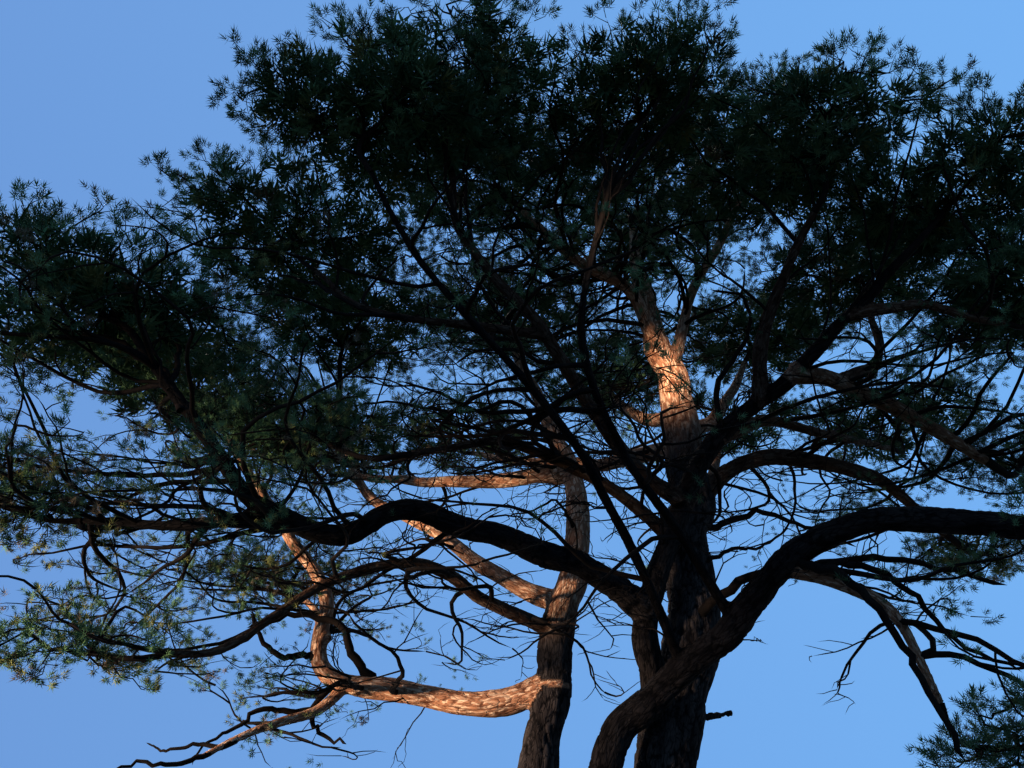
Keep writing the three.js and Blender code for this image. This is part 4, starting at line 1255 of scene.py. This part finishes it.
def swaying_starts(random):
    """Where swaying limbs may start and the way each sets out, more of them than are kept."""
    bearing = ((centres[:, 2] > SWAYING_FROM["height"]) & (thickness < SWAYING_FROM["thickest"])
        & (thickness > SWAYING_FROM["thinnest"]))
    outer = np.abs(centres[:, 0] - SWAYING_OUTER["middle"]) > SWAYING_OUTER["beyond"]
    weight = bearing * np.where(outer, SWAYING_OUTER["likelier"], 1)
    for place, likelier in SWAYING_DENSE:
        near = np.linalg.norm(centres - place, axis=1) < SWAYING_NEAR
        weight = np.where(near, bearing * likelier, weight)
    bare = limb_of == names.index(SWAYING_BARE["limb"])
    weight = weight * np.where(bare, SWAYING_BARE["likelier"], 1)
    chosen = random.choice(len(centres), SWAYING_COUNT * 2, p=weight / weight.sum())
    side = unit(np.cross(headings[chosen], UP)) * random.choice((-1, 1), (len(chosen), 1))
    climb = UP * random.uniform(*SWAYING_FROM["climb"], (len(chosen), 1))
    along = SWAYING_FROM["along"] * headings[chosen] * SWAYING_FROM["flatness"]
    return centres[chosen], unit(side + along + climb)


def swaying_forks(paths, each, random):
    """Where the next order starts, on either side of these paths, and the way each sets out."""
    uneven = SWAYING_FORKS["uneven"]
    shares = (np.linspace(*SWAYING_FORKS["shares"], each)
        + random.uniform(-uneven, uneven, (len(paths), each)))
    start, along = along_paths(paths, shares)
    side = unit(np.cross(along, UP)) * random.choice((-1, 1), shares.shape)[..., None]
    turned = side * random.uniform(*SWAYING_FORKS["side"], shares.shape)[..., None]
    climb = UP * random.uniform(*SWAYING_FORKS["climb"], shares.shape)[..., None]
    return start.reshape(-1, 3), unit(along + turned + climb).reshape(-1, 3)


def swaying_paths(start, heading, order, random):
    """Paths that set out along a heading and sway, more from side to side than up and down."""
    length = random.uniform(*order["length"], len(start))
    step = (length / (order["points"] - 1))[:, None]
    path, drift = [start], np.zeros_like(start)
    for _ in range(order["points"] - 1):
        drift = DRIFT["kept"] * drift + random.normal(0, 1, start.shape) * DRIFT["flatness"]
        heading = unit((heading + order["sway"] * drift) * DRIFT["levelling"])
        path.append(path[-1] + heading * step)
    return np.stack(path, axis=1)


def swaying_fits(paths):
    """Which paths stay in the box and not too low, nor too high outside the masses."""
    heights = paths[..., 2]
    central = np.linalg.norm(paths[..., :2] - LEAFY["middle"], axis=-1) < SWAYING_HIGHEST["within"]
    highest = np.where(central, SWAYING_HIGHEST["inner"], SWAYING_HIGHEST["outer"])
    fits = in_box(paths) & (heights > SWAYING_LOWEST)
    return (fits & (in_any_space(paths) | (heights < highest))).all(1)


def grow_swaying():
    """Thin limbs that leave the boughs nearly level and branch twice, and their last twigs."""
    random = np.random.default_rng(SWAYING_FROM["seed"])
    start, heading = swaying_starts(random)
    for number, order in enumerate(SWAYING):
        if number > 0:
            start, heading = swaying_forks(paths, order["each"], random)
        paths = swaying_paths(start, heading, order, random)
        fits = swaying_fits(paths)
        if number == 0:
            away = paths[:, SWAYING_FROM["free"]:]
            clear = room_to_limbs(away.reshape(-1, 3)).reshape(away.shape[:2])
            fits &= (clear > TWIG_CLEARANCE).all(1)
            fits &= np.cumsum(fits) <= SWAYING_COUNT
        paths = paths[fits]
        sizes = random.uniform(*BRANCHLET["sizes"], len(paths))
        wood["side_twigs"].grow(paths, order["foot"], order["tip"], order["sides"], sizes)
    return paths


def leafy(places):
    """How much of a swaying twig's foliage is kept: little low down in the middle."""
    high = smooth_between(*LEAFY["heights"], places[:, 2])
    from_middle = np.linalg.norm(places[:, :2] - LEAFY["middle"], axis=1)
    outer = smooth_between(*LEAFY["distances"], from_middle)
    return LEAFY["most"] * np.maximum(high, outer)


def swaying_tufts(twigs):
    """Tufts at the ends of the swaying twigs, fewer where the crown is bare inside."""
    random = np.random.default_rng(LEAFY["seed"])
    place, point, twig = tuft_places(twigs, TUFTS["swaying"], random)
    keep = in_box(place + point * TUFTING["reach"]) & (room_to_limbs(place) > TWIG_CLEARANCE)
    keep &= random.random(len(place)) < leafy(place)
    tone = tone_of("swaying", twigs[:, -1], random)
    shady = list(NEEDLE_TONES).index(LEAFY["shady_tone"])
    tone = np.where(twigs[:, -1, 0] < LEAFY["sunny_side"], tone, np.minimum(tone, shady))
    size = random.uniform(*TUFT_SIZES["swaying"], keep.sum())
    return place[keep], point[keep], size, tone[twig[keep]], np.zeros(keep.sum(), bool)


def grow_dead_twigs():
    """Bare, crooked twigs along the boughs, each with a few forks."""
    random = np.random.default_rng(DEAD["seed"])
    bare = np.flatnonzero((centres[:, 2] > DEAD["lowest"]) & (thickness < DEAD["thickest"]))
    chosen = random.choice(bare, DEAD["count"])
    outward = sideways(headings[chosen], random)
    leave = unit(outward + DEAD["along"] * headings[chosen] + DEAD["up"] * UP)
    length = random.uniform(*DEAD["length"], (len(chosen), 1))
    arrive = unit(leave + random.normal(0, DEAD["stray"], leave.shape))
    start = centres[chosen] + outward * DEAD["sunk"] * thickness[chosen][:, None]
    end = start + unit(leave + arrive) * length
    stems = crooked(curved(start, leave, arrive, end, DEAD["points"]), DEAD["crooked"], random)
    orders = [(stems, DEAD["foot"])]
    for share in DEAD["forks"]:
        uneven = random.uniform(-DEAD["uneven"], DEAD["uneven"], (len(stems), 1))
        place, heading = (values[:, 0] for values in along_paths(stems, share + uneven))
        leave = unit(heading + sideways(heading, random))
        shorter = random.uniform(*DEAD["fork_length"])
        tip = place + unit(leave + heading * DEAD["fork_along"]) * length * shorter
        forks = curved(place, leave, heading, tip, DEAD["points"])
        orders.append((crooked(forks, DEAD["fork_crooked"], random), DEAD["fork_foot"]))
    for paths, foot in orders:
        sizes = random.uniform(*DEAD["sizes"], len(paths))
        fits = in_box(paths).all(1)
        wood["branchlets"].grow(paths[fits], foot, DEAD["tip"], DEAD["sides"], sizes[fits])


# Materials
class Nodes:
    """Short calls for building the nodes of a material or world."""

    def __init__(self, owner):
        owner.use_nodes = True
        self.owner, self.tree = owner, owner.node_tree

    def put(self, socket, value):
        """Another socket's value, or a plain one, given to this socket."""
        if isinstance(value, bpy.types.NodeSocket):
            self.tree.links.new(value, socket)
        elif socket.type == "RGBA":
            socket.default_value = (*value, 1)
        else:
            socket.default_value = value

    def add(self, kind, settings=None, **inputs):
        """A node with these settings and inputs, their names with _ for a space."""
        node = self.tree.nodes.new(kind)
        for key, value in (settings or {}).items():
            setattr(node, key, value)
        for key, value in inputs.items():
            self.put(node.inputs[key.replace("_", " ")], value)
        return node

    def attribute(self, name, output="Fac"):
        """A field of the mesh."""
        return self.add("ShaderNodeAttribute", dict(attribute_name=name)).outputs[output]

    def noise(self, vector, scale):
        """Smooth noise from 0 to 1."""
        return self.add("ShaderNodeTexNoise", Vector=vector, Scale=scale,
            Detail=NOISE["detail"], Roughness=NOISE["roughness"]).outputs["Fac"]

    def ramp(self, value, stops):
        """The value turned into a colour through stops of position and colour or grey level."""
        node = self.add("ShaderNodeValToRGB", Fac=value)
        elements = node.color_ramp.elements
        while len(elements) < len(stops):
            elements.new(0.5)
        for element, (position, colour) in zip(elements, stops):
            element.position = position
            element.color = (*(colour if isinstance(colour, tuple) else (colour,) * 3), 1)
        return node.outputs["Color"]

    def mix(self, share, first, second):
        """The first colour turned into the second by a share."""
        node = self.add("ShaderNodeMix", dict(data_type="RGBA"), Factor=share)
        inputs = [socket for socket in node.inputs if socket.type == "RGBA"]
        for socket, value in zip(inputs, (first, second)):
            self.put(socket, value)
        return [socket for socket in node.outputs if socket.type == "RGBA"][0]

    def math(self, operation, first, second):
        """A sum or product of two values."""
        node = self.add("ShaderNodeMath", dict(operation=operation))
        for socket, value in zip(node.inputs, (first, second)):
            self.put(socket, value)
        return node.outputs[0]

    def finish(self, colour, roughness, specular, height=None, bump=None):
        """The finished material, with its height as a bump where one is given."""
        inputs = self.tree.nodes["Principled BSDF"].inputs
        self.put(inputs["Base Color"], colour)
        self.put(inputs["Roughness"], roughness)
        self.put(inputs["Specular IOR Level"], specular)
        if bump:
            node = self.add("ShaderNodeBump", Height=height, **bump)
            self.put(inputs["Normal"], node.outputs["Normal"])
        return self.owner


def bark_material(name):
    """Bark in plates with dark cracks between them: grey and coarse, or orange and flaking."""
    nodes = Nodes(bpy.data.materials.new(name))
    stretched = nodes.add("ShaderNodeMapping", Vector=nodes.attribute("bark_place", "Vector"),
        Scale=BARK["stretch"]).outputs["Vector"]
    fine = nodes.noise(stretched, BARK["fine"])
    broad = nodes.noise(stretched, BARK["broad"])
    warp = nodes.add("ShaderNodeTexNoise", Vector=stretched, **BARK["warp"]).outputs["Color"]
    shift = nodes.add("ShaderNodeVectorMath", dict(operation="MULTIPLY_ADD"))
    for socket, value in zip(shift.inputs, (warp, (BARK["warped"],) * 3, stretched)):
        nodes.put(socket, value)
    place = shift.outputs[0]
    plates = nodes.add("ShaderNodeTexVoronoi", dict(feature="DISTANCE_TO_EDGE"), Vector=place,
        Scale=BARK["plates"]).outputs["Distance"]
    flakes = nodes.add("ShaderNodeTexVoronoi", dict(feature="F1"), Vector=place,
        Scale=BARK["flakes"]).outputs["Color"]
    patch = nodes.add("ShaderNodeSeparateColor", Color=flakes).outputs["Red"]
    deep = nodes.math("MULTIPLY", nodes.ramp(plates, BARK["plate_rims"]),
        nodes.ramp(nodes.attribute("relief"), BARK["relief"]))
    grown = {}
    # The limb colours are near-black painted shade, mixed into the grey bark where limbs lie in
    # shadow
    for kind, colours in (("limb", PAINTED_SHADE_BARK), ("grey", GREY_BARK)):
        colour = nodes.ramp(broad, colours["plates"])
        colour = nodes.mix(nodes.ramp(fine, BARK["specks"]), colour, colours["crack"])
        grown[kind] = nodes.mix(deep, colours["crack"], colour)
    grey = nodes.mix(nodes.attribute("painted_light"), grown["limb"], grown["grey"])
    orange = nodes.ramp(patch, ORANGE_BARK["plates"])
    for value, stops in ((deep, BARK["orange_cracks"]), (fine, BARK["orange_specks"])):
        orange = nodes.mix(nodes.ramp(value, stops), orange, ORANGE_BARK["crack"])
    height = nodes.math("ADD",
        nodes.math("MULTIPLY", nodes.ramp(plates, BARK["crack_walls"]), BARK["plate_height"]),
        nodes.math("MULTIPLY", fine, BARK["fine_height"]))
    return nodes.finish(nodes.mix(nodes.attribute("warmth"), grey, orange),
        nodes.ramp(fine, BARK["roughness"]), SPECULAR, height, BARK["bump"])


def twig_material():
    """Thin bark of twigs: dark, scaly and a little warm."""
    nodes = Nodes(bpy.data.materials.new("twig_bark"))
    place = nodes.add("ShaderNodeTexCoord").outputs["Object"]
    fine = nodes.noise(place, TWIG_BARK["fine"])
    colour = nodes.ramp(nodes.noise(place, TWIG_BARK["coarse"]), TWIG_BARK["plates"])
    colour = nodes.mix(nodes.ramp(fine, TWIG_BARK["specks"]), colour, TWIG_BARK["crack"])
    return nodes.finish(colour, nodes.ramp(fine, TWIG_BARK["roughness"]), SPECULAR, fine,
        TWIG_BARK["bump"])


def needle_material(tone, colour):
    """Needles of one plain tone, a little waxy, with a faint unevenness in their gloss."""
    nodes = Nodes(bpy.data.materials.new(f"needles_{tone}"))
    gloss = nodes.noise(nodes.add("ShaderNodeTexCoord").outputs["Object"], NEEDLE_GLOSS["scale"])
    return nodes.finish(colour, nodes.ramp(gloss, NEEDLE_GLOSS["roughness"]), SPECULAR)


def floor_material():
    """The floor's plain, pale finish with a faint grain."""
    nodes = Nodes(bpy.data.materials.new("floor"))
    grain = nodes.noise(nodes.add("ShaderNodeTexCoord").outputs["Object"], FLOOR["grain"])
    darker = tuple(FLOOR["darker"] * level for level in FLOOR["colour"])
    return nodes.finish(nodes.mix(grain, FLOOR["colour"], darker), FLOOR["roughness"],
        FLOOR["specular"])


# Sky, light and camera
def backdrop():
    """A plain sky, a little paler towards the right, and dim below the level of the floor."""
    nodes = Nodes(bpy.data.worlds.new("studio"))
    bpy.context.scene.world = nodes.owner
    way = nodes.add("ShaderNodeTexCoord").outputs["Generated"]
    axes = nodes.add("ShaderNodeSeparateXYZ", Vector=way).outputs
    colour = SKY["right"]
    for axis, (low, high), first in (("X", SKY["turns"], SKY["left"]),
            ("Z", BELOW["heights"], BELOW["colour"])):
        share = nodes.add("ShaderNodeMapRange", Value=axes[axis], From_Min=low, From_Max=high)
        colour = nodes.mix(share.outputs["Result"], first, colour)
    nodes.put(nodes.tree.nodes["Background"].inputs["Color"], colour)


def lights():
    """A soft light from above and behind, and two warm ones that reach only some limbs."""
    top = bpy.data.lights.new("top", "SUN")
    top.energy = TOP_LIGHT["strength"]
    top.color = TOP_LIGHT["colour"]
    top.angle = math.radians(TOP_LIGHT["angle"])
    way = mathutils.Vector(TOP_LIGHT["comes_from"])
    placed("top", top).rotation_euler = way.to_track_quat("Z", "Y").to_euler()
    for name, entry in LIGHTS.items():
        light = bpy.data.lights.new(name, "SPOT")
        light.color = SUN["colour"]
        light.energy = entry["power"]
        light.shadow_soft_size = entry["radius"]
        light.spot_size = math.radians(entry["cone"])
        light.spot_blend = SUN["blend"]
        lamp = placed(name, light, entry["place"])
        towards = mathutils.Vector(entry["aim"]) - lamp.location
        lamp.rotation_euler = towards.to_track_quat("-Z", "Y").to_euler()


def stage():
    """The floor, the light and the camera."""
    bpy.ops.mesh.primitive_circle_add(vertices=FLOOR["sides"], radius=FLOOR["radius"],
        fill_type="NGON", location=(0, 0, -FLOOR["drop"]))
    floor = bpy.context.object
    floor.name = "floor"
    floor.data.materials.append(floor_material())
    floor.visible_diffuse = False
    floor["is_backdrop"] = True
    backdrop()
    lights()
    lens = bpy.data.cameras.new("camera")
    lens.sensor_fit = "HORIZONTAL"
    lens.sensor_width = CAMERA["sensor"]
    lens.lens = CAMERA["focal_pixels"] / CAMERA["image_width"] * CAMERA["sensor"]
    lens.clip_end = CAMERA["sees"]
    camera = placed("camera", lens, CAMERA["place"])
    camera.rotation_euler = (math.radians(90 + CAMERA["pitch"]), 0, 0)
    bpy.context.scene.camera = camera
    bpy.context.scene.view_settings.view_transform = "Standard"
    bpy.context.scene.view_settings.gamma = GAMMA


# The pieces
def settle(piece, nodes):
    """The piece hangs from the root body and stands for these nodes, which are hidden."""
    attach(piece, "root")
    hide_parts(*nodes)


def cut_at_ground(piece):
    """The piece without what reaches below the ground, closed by a flat face there."""
    shape = bmesh.new()
    shape.from_mesh(piece.data)
    cut = bmesh.ops.bisect_plane(shape, geom=shape.verts[:] + shape.edges[:] + shape.faces[:],
        plane_co=(0, 0, 0), plane_no=(0, 0, 1), clear_inner=True)
    rim = [part for part in cut["geom_cut"] if isinstance(part, bmesh.types.BMEdge)]
    bmesh.ops.holes_fill(shape, edges=rim)
    shape.to_mesh(piece.data)
    shape.free()


def bark_piece_of(name, limb):
    """The piece of the skin that a limb belongs to."""
    if name == "trunk":
        return "trunk"
    if limb["bark"] == "grey":
        return "stems"
    return "boughs_left" if limb["through"][-1][0] < SPLIT_AT else "boughs_right"


def bark_pieces():
    """The skin split between the trunk, the other stems and the boughs of each side."""
    vertices, quads, limb, fields = bark_skin()
    order = list(BARK_PIECES)
    materials = {slot: bark_material(slot) for slot in dict.fromkeys(BARK_PIECES.values())}
    piece_of = [bark_piece_of(*entry) for entry in LIMBS.items()]
    owner = np.array([order.index(piece) for piece in piece_of])[limb]
    for name, share in STEM_FEET.items():
        low = fields["bark_place"][:, 2] < share * lines[name]["length"]
        owner[(limb == names.index(name)) & low] = order.index("trunk")
    face_owner = owner[quads[:, 0]]
    for piece, slot in BARK_PIECES.items():
        faces = quads[face_owner == order.index(piece)]
        used, renumbered = np.unique(faces, return_inverse=True)
        made = add_object(f"bark_{piece}", vertices[used], [renumbered.reshape(-1, 4)],
            materials[slot], True)
        for label, values in fields.items():
            kind, field = ("FLOAT", "value") if values.ndim == 1 else ("FLOAT_VECTOR", "vector")
            attribute = made.data.attributes.new(label, kind, "POINT")
            attribute.data.foreach_set(field, values[used].astype(np.float32).ravel())
        if piece == "trunk":
            cut_at_ground(made)
        stood_for = [name for name, other in zip(names, piece_of) if other == piece]
        settle(made, stood_for + CONTINUED.get(piece, []))


def needle_pieces(places, points, sizes, tones, inside):
    """The tufts joined by tone and by how deep in the crown they are."""
    for number, (tone, entry) in enumerate(NEEDLE_TONES.items()):
        material = needle_material(tone, entry["colour"])
        for kind, shape in TUFT.items():
            chosen = np.flatnonzero((tones == number) & (inside == (kind == "inner")))
            most = TRIANGLES_PER_PIECE // (shape["needles"] * len(shape["angles"]))
            for part, start in enumerate(range(0, len(chosen), most), start=1):
                some = chosen[start:start + most]
                random = np.random.default_rng(TUFTING["seeds"] * number + part)
                needles = needle_mesh(places[some], points[some], sizes[some], kind, random)
                settle(add_object(f"needles_{tone}_{kind}_{part}", *needles, material, False),
                    needle_nodes)


needle_nodes = [name for name in frame["nodes"] if name.startswith("needles")]
bark_pieces()
tufts = [grow_mass(mass, SEED_STEP * number) for number, mass in enumerate(masses, start=1)]
grow_side_limbs()
grow_risers()
grow_dead_twigs()
tufts.append(swaying_tufts(grow_swaying()))
twig_bark = twig_material()
for name, grown in wood.items():
    settle(add_object(name, *grown.joined(), twig_bark, True), needle_nodes)
needle_pieces(*(np.concatenate(values) for values in zip(*tufts)))

stage()
[[list(corner) for corner in box] for box in (cad_box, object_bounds())]
